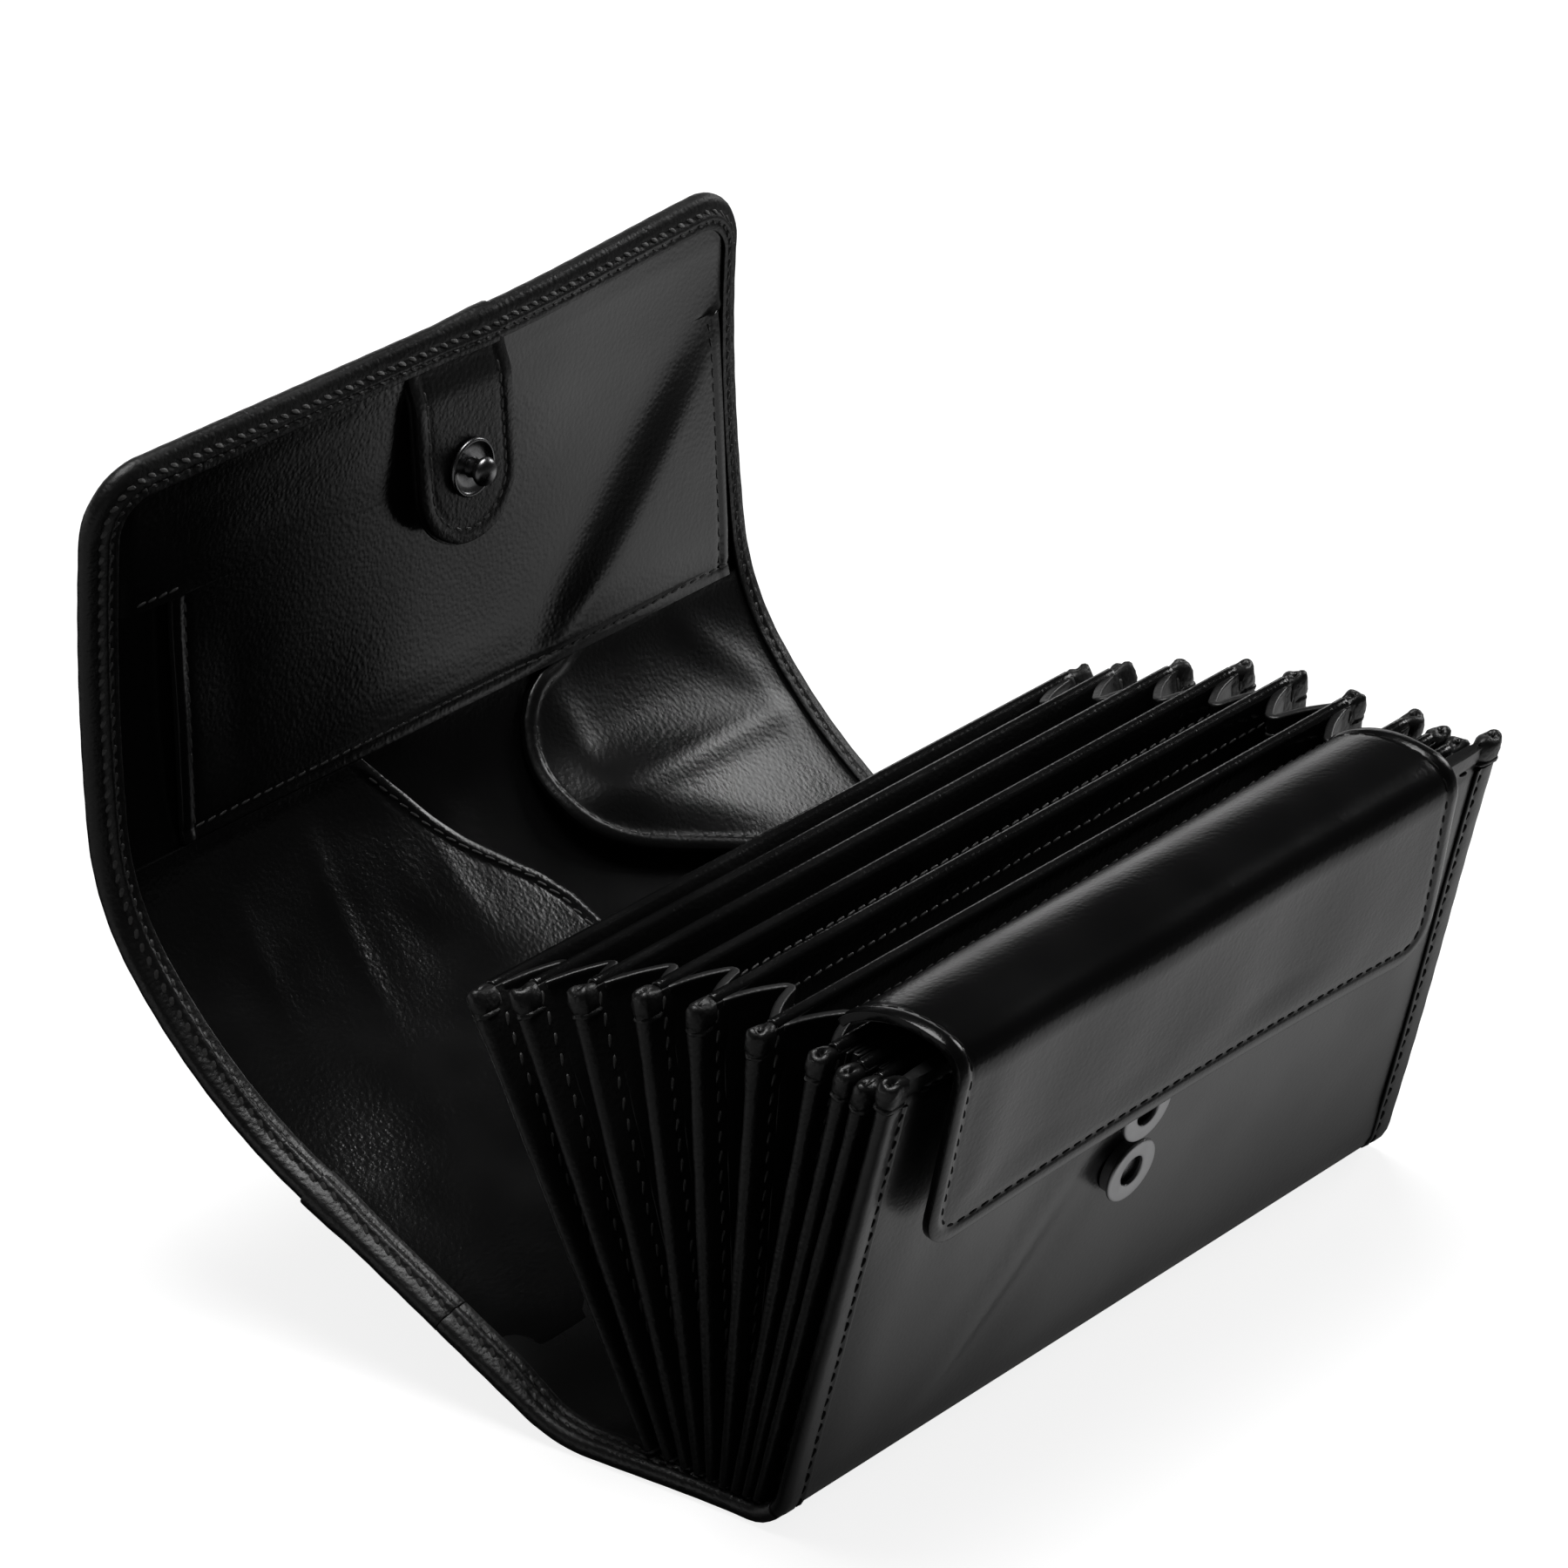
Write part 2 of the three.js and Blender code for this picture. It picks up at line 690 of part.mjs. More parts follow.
// The tab hangs plumb from the flap's end. Its line runs down, so its rear face is the upper one.
const tabHang = coverProfile.above(coverEnd - tabEndInset, pocketTop + seat);
const tabProfile = new Profile(tabHang, 270, [{ run: tabLength }]);
const tabAxis = (distance) => distance * Math.tan(radians(tabSkewAngle));
const tabRound = half(tabWidth);
const tabTipSteps = 6;
const tabMarks = [0];
for (let i = tabTipSteps; i >= 0; i -= 1) {
  tabMarks.push(tabLength - tabRound * (1 - Math.cos(radians(90 * i / tabTipSteps))));
}
const tabStations = tabMarks.map((distance) => {
  const inTip = Math.max(0, distance - (tabLength - tabRound));
  const side = Math.max(tabTipWidth, Math.sqrt(tabRound ** 2 - inTip ** 2));
  return { distance, left: tabAxis(distance) - side, right: tabAxis(distance) + side };
});

// Place on the tab's front face, with Z pointing away from the tab
function onTab(distance, height) {
  const group = new THREE.Group();
  group.position.copy(inSpace(tabAxis(distance), tabProfile.above(distance, -tabThickness - height)));
  group.rotation.x = radians(90);
  return group;
}

const studDistance = tabLength - studFromTabTip;
function drillTab(solid) {
  const drill = new THREE.CylinderGeometry(
    studPostRadius + seat, studPostRadius + seat, tabThickness + overrun, 20);
  drill.rotateX(radians(90));
  const place = onTab(studDistance, -half(tabThickness));
  place.updateMatrixWorld();
  drill.applyMatrix4(place.matrixWorld);
  return solid.subtract(toSolid(drill));
}
addPiece(wallet, 'stud_tab', toGeometry(drillTab(
  toSolid(sheet(tabProfile, tabStations, -tabThickness, 0)))), innerLeather());

const studGroup = onTab(studDistance, seat);
wallet.add(studGroup);
// Ball of the stud, from where it leaves the neck up to its top
const ball = [];
const ballStart = -Math.acos(studNeckRadius / studBallRadius);
for (let i = 0; i < studBallSteps; i += 1) {
  const angle = ballStart + (radians(90) - ballStart) * i / studBallSteps;
  ball.push([studBallRadius * Math.cos(angle),
    studHeight - studBallHalfHeight * (1 - Math.sin(angle))]);
}
const studBore = studPostRadius + seat;
const studRoof = studBaseThickness + seat;
addPiece(studGroup, 'stud', turned([
  [0, studRoof], [studBore, studRoof], [studBore, 0],
  [studBaseRadius, 0], [studBaseRadius, studBaseThickness],
  [studNeckRadius, studBaseThickness], ...ball, [0, studHeight],
], 24), darkMetal());

// Post that holds the stud through the tab, with its flange on the tab's hidden side
const studPostFoot = -2 * seat - tabThickness;
addPiece(studGroup, 'stud_post', turned([
  [0, studPostFoot - postFlangeThickness], [studBaseRadius, studPostFoot - postFlangeThickness],
  [studBaseRadius, studPostFoot], [studPostRadius, studPostFoot],
  [studPostRadius, studBaseThickness], [0, studBaseThickness],
], 24), darkMetal());

// Lower pockets on the back section
const seamClear = seamDistance - half(coverThickness) - foldGap - seat;

function swell(height, from, to) {
  return ({ distance }) => pocketTop
    + height * Math.sin(Math.PI * (distance - from) / (to - from)) ** 2;
}

// The left pocket's free side runs straight up, then drifts left towards the fold
function leftPocketRight(distance) {
  return leftPocketMouth - leftPocketShift
    * THREE.MathUtils.smoothstep(distance, leftPocketShiftStart, leftPocketShiftEnd);
}
const leftStations = coverProfile.stations(leftPocketFoot, seamClear, 6).map((distance) => ({
  distance, left: -edgeInset, right: leftPocketRight(distance),
}));
addPiece(wallet, 'left_pocket', sheet(coverProfile, leftStations, innerFace,
  swell(leftPocketSwell, leftPocketFoot, seamClear)), innerLeather());

// The right pocket has a slanted foot that rounds into its free side and a round shoulder
function rightPocketLeft(distance) {
  const slant = (rightPocketKnee - distance) * rightPocketSlantShare;
  const foot = half(slant + Math.hypot(slant, rightPocketKneeRound));
  const past = Math.max(0, distance - (seamClear - rightPocketShoulder)) / rightPocketShoulder;
  const shoulder = rightPocketShoulder * (1 - Math.sqrt(1 - past ** 2));
  return rightPocketEdge + foot + shoulder;
}
const rightMarks = coverProfile.stations(rightPocketFoot, seamClear, 5);
const rightStations = rightMarks.map((distance) => ({
  distance, left: rightPocketLeft(distance), right: edgeInset,
}));
addPiece(wallet, 'right_pocket', sheet(coverProfile, rightStations, innerFace,
  swell(rightPocketSwell, rightPocketFoot, seamClear)), innerLeather());

// The origin goes on the floor under the middle of the whole object
const extent = new THREE.Box3().setFromObject(wallet);
wallet.position.y = -half(extent.min.y + extent.max.y);
wallet.position.z = -extent.min.z;

export default wallet;
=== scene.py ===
# Waiter's wallet of black glazed leather, standing open with its cover thrown back.
# Every piece is cut flat in millimetres, given its thickness and its stitches, and then laid
# on the line that the real leather follows. +X runs along the wallet, +Y to the cover, +Z up.
import random
from bisect import bisect
from math import atan2, copysign, cos, exp, hypot, pi, radians, sin, sqrt, tan
import bpy
from mathutils import Matrix, Vector


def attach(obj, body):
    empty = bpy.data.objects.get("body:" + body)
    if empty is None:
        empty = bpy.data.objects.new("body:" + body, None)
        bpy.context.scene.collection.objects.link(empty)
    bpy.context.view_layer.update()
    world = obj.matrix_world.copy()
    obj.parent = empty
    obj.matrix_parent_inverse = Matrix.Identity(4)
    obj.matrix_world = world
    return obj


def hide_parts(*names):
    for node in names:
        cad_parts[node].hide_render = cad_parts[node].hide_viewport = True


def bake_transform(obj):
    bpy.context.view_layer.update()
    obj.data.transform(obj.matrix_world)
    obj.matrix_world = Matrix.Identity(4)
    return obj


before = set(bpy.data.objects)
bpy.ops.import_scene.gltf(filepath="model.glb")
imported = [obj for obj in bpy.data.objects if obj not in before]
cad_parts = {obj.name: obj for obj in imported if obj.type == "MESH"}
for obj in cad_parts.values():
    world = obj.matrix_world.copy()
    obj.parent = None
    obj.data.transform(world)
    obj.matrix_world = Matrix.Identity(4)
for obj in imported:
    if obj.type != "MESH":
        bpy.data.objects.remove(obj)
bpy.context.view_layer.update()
MM = 0.001
random.seed(7)

# Sizes shared with the frame, in millimetres and degrees
panel_half = 90
panel_height = 94.5
cover_thickness = 2.4
inner_face = cover_thickness / 2
base_middle = -59.903
base_depth = 42.5
back_height = 70.5
back_tilt = 25
fold_radius = 30
front_lean = 14
front_slope = 93
front_bend = 76
front_bend_radius = 9
divider_feet = [(-35.90, 3.40), (-40.50, 3.33), (-44.30, 3.22), (-47.20, 3.08), (-50.10, 2.98),
                (-53.00, 3.01), (-55.70, 3.12), (-58.20, 3.16), (-60.70, 3.18)]
divider_tilts = [27.6, 23.2, 16.2, 8.4, 2.5, -4.1, -10.7, -12.9, -14]
divider_heights = [panel_height * share for share in
                   (0.945, 0.957, 0.97, 0.99, 1, 1, 1.015, 1.008, 1.002)]
compartment_travel = [30.8, 28.6, 22.9, 16, 11.3, 5.8]
wallet_sides = (("left", -1), ("right", 1))


# ---- lines that leather follows
class Line:
    """A line in a plane, made of straight and curved runs. Headings and turns in degrees."""

    def __init__(self, start, heading, runs):
        self.pieces, place, travelled = [], start, 0
        for run, turn in runs:
            self.pieces.append((travelled, run, turn, place, heading))
            place = self.along(place, heading, run, turn, run)
            heading += turn
            travelled += run
        self.length = travelled

    @staticmethod
    def along(start, heading, run, turn, distance):
        first = radians(heading)
        if abs(turn) < 1e-9:
            return start[0] + distance * cos(first), start[1] + distance * sin(first)
        radius = run / radians(turn)
        second = radians(heading + turn * distance / run)
        return (start[0] + radius * (sin(second) - sin(first)),
                start[1] - radius * (cos(second) - cos(first)))

    def at(self, distance):
        begun, run, turn, start, heading = next(
            (piece for piece in reversed(self.pieces) if piece[0] <= distance), self.pieces[0])
        followed = clamp(distance - begun, 0, run)
        y, z = self.along(start, heading, run, turn, followed)
        heading += turn * (followed / run)
        beyond = distance - begun - followed
        return y + beyond * cos(radians(heading)), z + beyond * sin(radians(heading)), heading

    def above(self, distance, height):
        """The point a height above the line, on its left as it is followed."""
        y, z, heading = self.at(distance)
        side = radians(heading + 90)
        return y + height * cos(side), z + height * sin(side)


class Seam:
    """A seam or an edge drawn through flat (x, s) points, measured along its length."""

    def __init__(self, points):
        self.points, self.gone, ways = points, [0], []
        for a, b in zip(points, points[1:]):
            run = hypot(b[0] - a[0], b[1] - a[1])
            self.gone.append(self.gone[-1] + run)
            ways.append(((b[0] - a[0]) / run, (b[1] - a[1]) / run))
        self.length = self.gone[-1]
        turns = [(p[0] + q[0], p[1] + q[1]) for p, q in zip(ways, ways[1:])]
        self.ways = [ways[0], *turns, ways[-1]]

    def at(self, distance):
        """The place and the direction at a distance along the seam."""
        leg = clamp(bisect(self.gone, distance) - 1, 0, len(self.points) - 2)
        share = (distance - self.gone[leg]) / (self.gone[leg + 1] - self.gone[leg])
        (ax, a), (bx, b), p, q = *self.points[leg:leg + 2], *self.ways[leg:leg + 2]
        dx, ds = mix(p[0], q[0], clamp(share)), mix(p[1], q[1], clamp(share))
        return mix(ax, bx, share), mix(a, b, share), dx / hypot(dx, ds), ds / hypot(dx, ds)


def clamp(value, low=0, high=1):
    return min(max(value, low), high)


def smooth(value, low, high):
    share = clamp((value - low) / (high - low))
    return share * share * (3 - 2 * share)


def bell(off, width):
    """1 on a line and falling away to both sides of it."""
    return exp(-(off / width) ** 2)


def solve(rising, wanted, low, high):
    """Where a rising function reaches the wanted value."""
    for _ in range(40):
        middle = (low + high) / 2
        low, high = (middle, high) if rising(middle) < wanted else (low, middle)
    return low


def mix(a, b, share):
    return a + (b - a) * share


def cover_sections():
    """The cover's line from the front panel's top, round the base and up the back and flap."""
    bend_radius = front_bend_radius - inner_face
    bend, lean = radians(front_bend), radians(front_lean)
    top = (base_middle - bend_radius * sin(bend) - front_slope * sin(lean),
           front_bend_radius - bend_radius * cos(bend) + front_slope * cos(lean))
    fold_cut = fold_radius * tan(radians(back_tilt / 2))
    bend_run, fold_run = bend_radius * bend, fold_radius * radians(back_tilt)
    line = Line(top, 284, [
        (front_slope, 0), (bend_run, front_bend), (base_depth - fold_cut, 0), (fold_run, back_tilt),
        (back_height - fold_cut, 0), (50, 27), (17, 22), (10, 12), (74, 17)])
    base_start = front_slope + bend_run
    fold_start = base_start + base_depth - fold_cut
    fold_end = fold_start + fold_run
    return line, top, base_start, fold_start, fold_end, fold_end - fold_cut


cover_line, front_top, base_start, fold_start, fold_end, back_start = cover_sections()
flap_end = cover_line.length


def on_back(distance):
    """Place on the cover line at a distance up the back from the fold."""
    return back_start + distance


# ---- making and shaping leather
def deselect():
    bpy.ops.object.select_all(action="DESELECT")


def pick(piece):
    deselect()
    piece.select_set(True)
    bpy.context.view_layer.objects.active = piece


def edit(piece, change):
    """Opens a piece for a change to its whole mesh."""
    pick(piece)
    bpy.ops.object.mode_set(mode="EDIT")
    bpy.ops.mesh.select_all(action="SELECT")
    change()
    bpy.ops.object.mode_set(mode="OBJECT")


def add_object(name, data):
    added = bpy.data.objects.new(name, data)
    bpy.context.scene.collection.objects.link(added)
    return added


def modify(piece, kind, **settings):
    pick(piece)
    modifier = piece.modifiers.new(kind.title(), kind)
    for key, value in settings.items():
        setattr(modifier, key, value)
    bpy.ops.object.modifier_apply(modifier=modifier.name)


def reshape(piece, place):
    """Moves every point of a piece to the place that a function gives it."""
    for vertex in piece.data.vertices:
        vertex.co = place(*vertex.co)
    return piece


def marks(start, end, step):
    count = max(1, round(abs(end - start) / step))
    return [mix(start, end, i / count) for i in range(count + 1)]


def fine_ends(start, end, step, first=True, last=True):
    """Marks that lie closer together near the two ends, where rims and seams are."""
    fine = (0.5, 1.1, 1.8, 2.5, 3.1, 3.7, 4.4, 5.4, 7)
    low = [start + f for f in fine] if first else []
    high = [end - f for f in fine] if last else []
    middle = marks(low[-1] if low else start, min(high) if high else end, step)
    return sorted({round(m, 4) for m in [start, *low, *middle, *high, end]})


def cut_sheet(name, rows, columns, sides=None, thickness=1.2, rim=0.4):
    """A flat piece of leather with rounded rims. rows are the marks along its length, columns
    the marks across it, and sides(row) draws the columns in to its two edges there."""
    deselect()
    bpy.ops.mesh.primitive_grid_add(
        x_subdivisions=len(columns) - 1, y_subdivisions=len(rows) - 1, size=2)
    piece = bpy.context.object
    piece.name = piece.data.name = name
    wide = columns[-1] - columns[0]
    for vertex in piece.data.vertices:
        column = (vertex.co.x + 1) / 2 * (len(columns) - 1)
        row = (vertex.co.y + 1) / 2 * (len(rows) - 1)
        x, s = columns[round(column)], rows[round(row)]
        if sides:
            left, right = sides(s)
            x = left + (x - columns[0]) / wide * (right - left)
        vertex.co = (x, s, 0)
    modify(piece, "SOLIDIFY", thickness=thickness, offset=1)
    if rim:
        modify(piece, "BEVEL", width=rim, segments=3, limit_method="ANGLE",
               angle_limit=radians(50))
    chart = piece.data.uv_layers.new(name="Flat")
    for loop in piece.data.loops:
        x, s, _ = piece.data.vertices[loop.vertex_index].co
        chart.data[loop.index].uv = (x * MM, s * MM)
    return piece


def swell(piece, rise):
    """Raises the upper side of a flat piece by rise(x, s)."""
    middle = 0.4 * max(vertex.co.z for vertex in piece.data.vertices)
    for vertex in piece.data.vertices:
        if vertex.co.z > middle:
            vertex.co.z += rise(vertex.co.x, vertex.co.y)
    return piece


def turned_rim(inset, width=4.2, height=0.35, seam=3.4, sink=0.28):
    """The full edge of a turned leather: swollen at the rim, drawn in along its seam."""
    def rise(x, s):
        n = inset(x, s)
        full = height * sin(pi * n / width) ** 0.7 if 0 < n < width else 0
        return full - sink * bell(n - seam, 0.55)
    return rise


def rounded_inset(half, high, radius):
    """Distance from the sides and the far end of a sheet whose far corners are round."""
    def inset(x, s):
        side, end = half - abs(x), high - s
        if side < radius and end < radius:
            return radius - hypot(radius - side, radius - end)
        return min(side, end)
    return inset


def round_sides(half, end, radius):
    def sides(s):
        past = clamp(s - (end - radius), 0, radius)
        draw = radius - sqrt(radius * radius - past * past)
        return -half + draw, half - draw
    return sides


def corner_marks(end, radius, steps=9):
    return [end - radius + radius * sin(pi / 2 * i / steps) for i in range(steps + 1)]


def round_path(half, start, end, radius, step, step_across, turn):
    """Up the left side of a sheet, round its far end and down the right side."""
    side, low = half - radius, end - radius
    corner = [(radius * cos(radians(a)), radius * sin(radians(a))) for a in range(turn, 90, turn)]
    path = [(-half, s) for s in marks(start, low, step)] + [(-side - c, low + n) for c, n in corner]
    path += [(x, end) for x in marks(-side, side, step_across)]
    path += [(side + n, low + c) for c, n in corner]
    return path + [(half, s) for s in marks(low, start, step)]


def stitch_pattern():
    """One stitch, kept as a pattern of points and faces and copied along every seam."""
    deselect()
    bpy.ops.mesh.primitive_uv_sphere_add(segments=6, ring_count=5, radius=1)
    one = bpy.context.object
    one.rotation_euler = (0, pi / 2, 0)
    bpy.ops.object.transform_apply(rotation=True)
    points = [(copysign(abs(x) ** 0.7, x), y, z) for x, y, z in (v.co for v in one.data.vertices)]
    faces = [tuple(p.vertices) for p in one.data.polygons]
    bpy.data.objects.remove(one)
    return points, faces


stitch_points, stitch_faces = stitch_pattern()
sunk = 0.02  # how deep a thread lies in the leather


def stitch_row(name, paths, height, length=2.5, pitch=3.3, wide=0.34, high=0.26, slant=7):
    """Rows of stitches along flat paths of (x, s) points. height(x, s) is the leather's top."""
    points, faces = [], []
    for path in paths:
        seam = Seam(path)
        count = max(1, round(seam.length / pitch))
        for i in range(count):
            x, s, dx, ds = seam.at((i + 0.5) * seam.length / count)
            turn = atan2(ds, dx) + radians(slant + random.uniform(-4, 4))
            half = length / 2 * random.uniform(0.94, 1.06)
            lift = height(x, s) if callable(height) else height
            faces += [tuple(len(points) + k for k in face) for face in stitch_faces]
            for px, py, pz in stitch_points:
                u, v = px * half, py * wide
                points.append((x + u * cos(turn) - v * sin(turn),
                               s + u * sin(turn) + v * cos(turn), lift + pz * high))
    mesh = bpy.data.meshes.new(name)
    mesh.from_pydata(points, [], faces)
    return add_object(name, mesh)


def turn_on_lathe(name, outline, segments=48):
    """A round piece from the (radius, height) points of its outline, drawn out ring by ring."""
    deselect()
    radius, height = outline[0]
    bpy.ops.mesh.primitive_circle_add(vertices=segments, radius=radius)
    piece = bpy.context.object
    piece.name = piece.data.name = name

    def draw_out():
        bpy.ops.transform.translate(value=(0, 0, height))
        for (near, low), (wider, high) in zip(outline, outline[1:]):
            bpy.ops.mesh.extrude_region_move(TRANSFORM_OT_translate={"value": (0, 0, high - low)})
            bpy.ops.transform.resize(value=(wider / near, wider / near, 1))
        bpy.ops.mesh.select_all(action="SELECT")
        bpy.ops.mesh.remove_doubles(threshold=0.004)
        bpy.ops.mesh.select_all(action="DESELECT")
        bpy.ops.mesh.select_non_manifold()
        bpy.ops.mesh.edge_face_add()
    edit(piece, draw_out)
    return piece


def make_thimble(name, side, seed, place, foot, middle):
    """The crumpled cap on a side edge: a crease ring at its foot and a crown, drawn from (radius,
    height) points. place(x, q, z) lays it, foot is its height up the edge."""
    thimble = turn_on_lathe(name, [
        (1.5, 0), (2.0, 0.1), (2.12, 0.45), (2.0, 0.8), (1.86, 1.0), (2.0, 1.3), (2.12, 2.0),
        (2.14, 3.2), (2.08, 4.2), (1.9, 4.9), (1.5, 5.35), (1.0, 5.5), (0.6, 5.3), (0.3, 5.0),
        (0.05, 4.9)], 20)

    def crumple(x, q, z):
        turn = atan2(q, x)
        full = (1 + 0.07 * sin(3 * turn + seed) * smooth(z, 1, 3)
                + 0.05 * sin(5 * turn - 2 * z + seed))
        z += 0.3 * sin(2 * turn + seed) * smooth(z, 3.4, 5)
        outward = middle + full * (x * (1.15 if x > 0 else 2.2)) - 0.55
        return place(side * outward, side * full * q, foot + z)
    return reshape(thimble, crumple)


def join(name, pieces):
    pick(pieces[0])
    for piece in pieces:
        piece.select_set(True)
    bpy.ops.object.join()
    pieces[0].name = pieces[0].data.name = name
    return pieces[0]


def coat(piece, material):
    piece.data.materials.clear()
    piece.data.materials.append(material)


def settle(piece, material, body, stands_for=(), sharp=42):
    """Brings a finished piece to metres and gives it its finish. A piece with one body is
    parented to that body's empty; a piece with a bend is left fixed in place.
    """
    piece.data.transform(Matrix.Scale(MM, 4))
    coat(piece, material)
    edit(piece, lambda: bpy.ops.mesh.normals_make_consistent(inside=False))
    bpy.ops.object.shade_smooth_by_angle(angle=radians(sharp))
    if isinstance(body, str):
        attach(piece, body)
    else:
        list(body)
        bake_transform(piece)
    if stands_for:
        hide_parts(*stands_for)
    return piece


# ---- finishes
class Nodes:
    """The nodes of a material or of the world, added one after another."""

    def __init__(self, tree):
        self.tree = tree

    def add(self, kind, inputs=None, **settings):
        node = self.tree.nodes.new(kind)
        for key, value in settings.items():
            setattr(node, key, value)
        for key, value in (inputs or {}).items():
            self.set(node.inputs[key], value)
        return node

    def set(self, socket, value):
        if isinstance(value, bpy.types.NodeSocket):
            self.tree.links.new(value, socket)
        else:
            socket.default_value = value

    def spread(self, value, low, high, out_low=0.0, out_high=1.0):
        node = self.add("ShaderNodeMapRange", {"Value": value, "From Min": low, "From Max": high,
                                               "To Min": out_low, "To Max": out_high})
        return node.outputs["Result"]

    def combine(self, a, b, operation="MULTIPLY"):
        node = self.add("ShaderNodeMath", {0: a, 1: b}, operation=operation)
        return node.outputs["Value"]


class Finish(Nodes):
    """A material, with the patterns and bumps that its surface is made of."""

    def __init__(self, name):
        self.material = bpy.data.materials.new(name)
        self.material.use_nodes = True
        super().__init__(self.material.node_tree)
        self.shader = self.tree.nodes["Principled BSDF"]
        places = self.add("ShaderNodeTexCoord").outputs
        self.place, self.flat = places["Object"], places["UV"]
        self.bumps = None

    def noise(self, scale, detail):
        inputs = {"Vector": self.place, "Scale": scale, "Detail": detail}
        return self.add("ShaderNodeTexNoise", inputs).outputs["Fac"]

    def cells(self, scale):
        node = self.add("ShaderNodeTexVoronoi", {"Vector": self.place, "Scale": scale},
                        feature="SMOOTH_F1")
        return node.outputs["Distance"]

    def colours(self, share, low, high):
        node = self.add("ShaderNodeMix", {"Factor": share, 6: (*low, 1), 7: (*high, 1)},
                        data_type="RGBA")
        self.set(self.shader.inputs["Base Color"], node.outputs[2])

    def bump(self, height, depth):
        inputs = {"Height": height, "Distance": depth}
        if self.bumps:
            inputs["Normal"] = self.bumps
        self.bumps = self.add("ShaderNodeBump", inputs).outputs["Normal"]
        self.set(self.shader.inputs["Normal"], self.bumps)

    def finish(self, **sockets):
        for key, value in sockets.items():
            self.set(self.shader.inputs[key.replace("_", " ")], value)
        return self.material


def tanned(name, dark, light, rough, waves):
    """Aniline leather with soft waves and a polish that varies with handling, from the smoothest
    to the roughest that rough gives."""
    hide = Finish(name)
    hide.colours(hide.noise(38, 3), dark, light)
    polish = hide.combine(hide.noise(26, 2), hide.noise(60, 1))
    hide.set(hide.shader.inputs["Roughness"], hide.spread(polish, 0.12, 0.42, *rough))
    hide.bump(hide.noise(17, 0), waves)
    return hide


def leather(name, dark, light, rough, grain, waves, specular=0.5):
    """Leather with fine pores in it."""
    hide = tanned(name, dark, light, rough, waves)
    hide.bump(hide.noise(95, 2), waves * 0.12)
    hide.bump(hide.cells(1150), grain)
    hide.bump(hide.noise(3200, 1), grain * 0.35)
    return hide.finish(Specular_IOR_Level=specular)


black, worn_black = (0.002, 0.002, 0.0021), (0.0035, 0.0035, 0.0035)
glazed = leather("glazed leather", black, (0.0035, 0.0035, 0.0036), (0.18, 0.26),
                 0.00003, 0.0007, 0.28)
panel_hide = leather("front panel leather", black, (0.0035, 0.0035, 0.0036), (0.26, 0.34),
                     0.00003, 0.0007)
inner = leather("inner leather", black, worn_black, (0.16, 0.24), 0.00006, 0.0005)
soft_polish = leather("pocket leather", black, worn_black, (0.25, 0.35), 0.00005, 0.0003)
bound = leather("binding leather", (0.003, 0.003, 0.0031), (0.0055, 0.0054, 0.0053), (0.34, 0.5),
                0.0001, 0.0006, 0.4)
gusset_hide = leather("gusset leather", (0.0025, 0.0025, 0.0026), (0.005, 0.0049, 0.0049),
                      (0.32, 0.48), 0.00006, 0.0006, 0.45)


def twill(name):
    """Lining cloth: fine diagonal ribs that follow the piece's own flat cut."""
    cloth = Finish(name)
    turned = cloth.add("ShaderNodeMapping", {"Vector": cloth.flat, "Rotation": (0, 0, radians(24))})
    ribs = cloth.add("ShaderNodeTexWave", {"Vector": turned.outputs["Vector"], "Scale": 520,
                                           "Distortion": 0.4, "Detail": 1.0}, bands_direction="Y")
    yarn = cloth.add("ShaderNodeTexWave", {"Vector": cloth.flat, "Scale": 900, "Distortion": 0.3},
                     bands_direction="X")
    weave = cloth.combine(ribs.outputs["Fac"], cloth.combine(yarn.outputs["Fac"], 0.4), "ADD")
    cloth.colours(cloth.spread(weave, 0.2, 1.3), (0.003, 0.003, 0.0031), (0.014, 0.0138, 0.0136))
    cloth.bump(weave, 0.00012)
    return cloth.finish(Roughness=0.75, Sheen_Weight=0.25, Sheen_Roughness=0.5)


lining = twill("twill lining")


def creased_leather(name):
    """Inner leather with fine creases that fan out from the pocket's slit."""
    hide = tanned(name, black, worn_black, (0.17, 0.25), 0.0005)
    hide.bump(hide.cells(1150), 0.00004)
    turned = hide.add("ShaderNodeMapping", {"Vector": hide.flat, "Rotation": (0, 0, radians(40))})
    lines = hide.add("ShaderNodeTexWave", {"Vector": turned.outputs["Vector"], "Scale": 115,
                                           "Distortion": 7, "Detail": 3, "Detail Scale": 22},
                     bands_direction="Y")
    flat = hide.add("ShaderNodeSeparateXYZ", {"Vector": hide.flat}).outputs
    # The creases lie on a slanting band through the slit's upper end, and on its left only
    off_band = hide.combine(hide.combine(flat["X"], 0.05, "ADD"),
                            hide.combine(flat["Y"], -0.166, "ADD"), "ADD")
    near = hide.spread(hide.combine(off_band, off_band), 0.0001, 0.0006, 1, 0)
    left = hide.spread(flat["X"], -0.016, -0.04)
    hide.bump(hide.combine(lines.outputs["Fac"], hide.combine(near, left)), 0.00007)
    return hide.finish(Specular_IOR_Level=0.5)


creased = creased_leather("creased pocket leather")


def thread_finish(name, dark, light, rough, specular):
    thread = Finish(name)
    ply = thread.noise(2600, 2)
    thread.colours(ply, dark, light)
    thread.bump(ply, 0.00006)
    return thread.finish(Roughness=rough, Specular_IOR_Level=specular)


thread = thread_finish("waxed thread", (0.014, 0.014, 0.014), (0.045, 0.044, 0.043), 0.45, 0.5)
matt_thread = thread_finish("matt black thread", (0.002, 0.002, 0.002), (0.006, 0.006, 0.006),
                            0.8, 0.15)


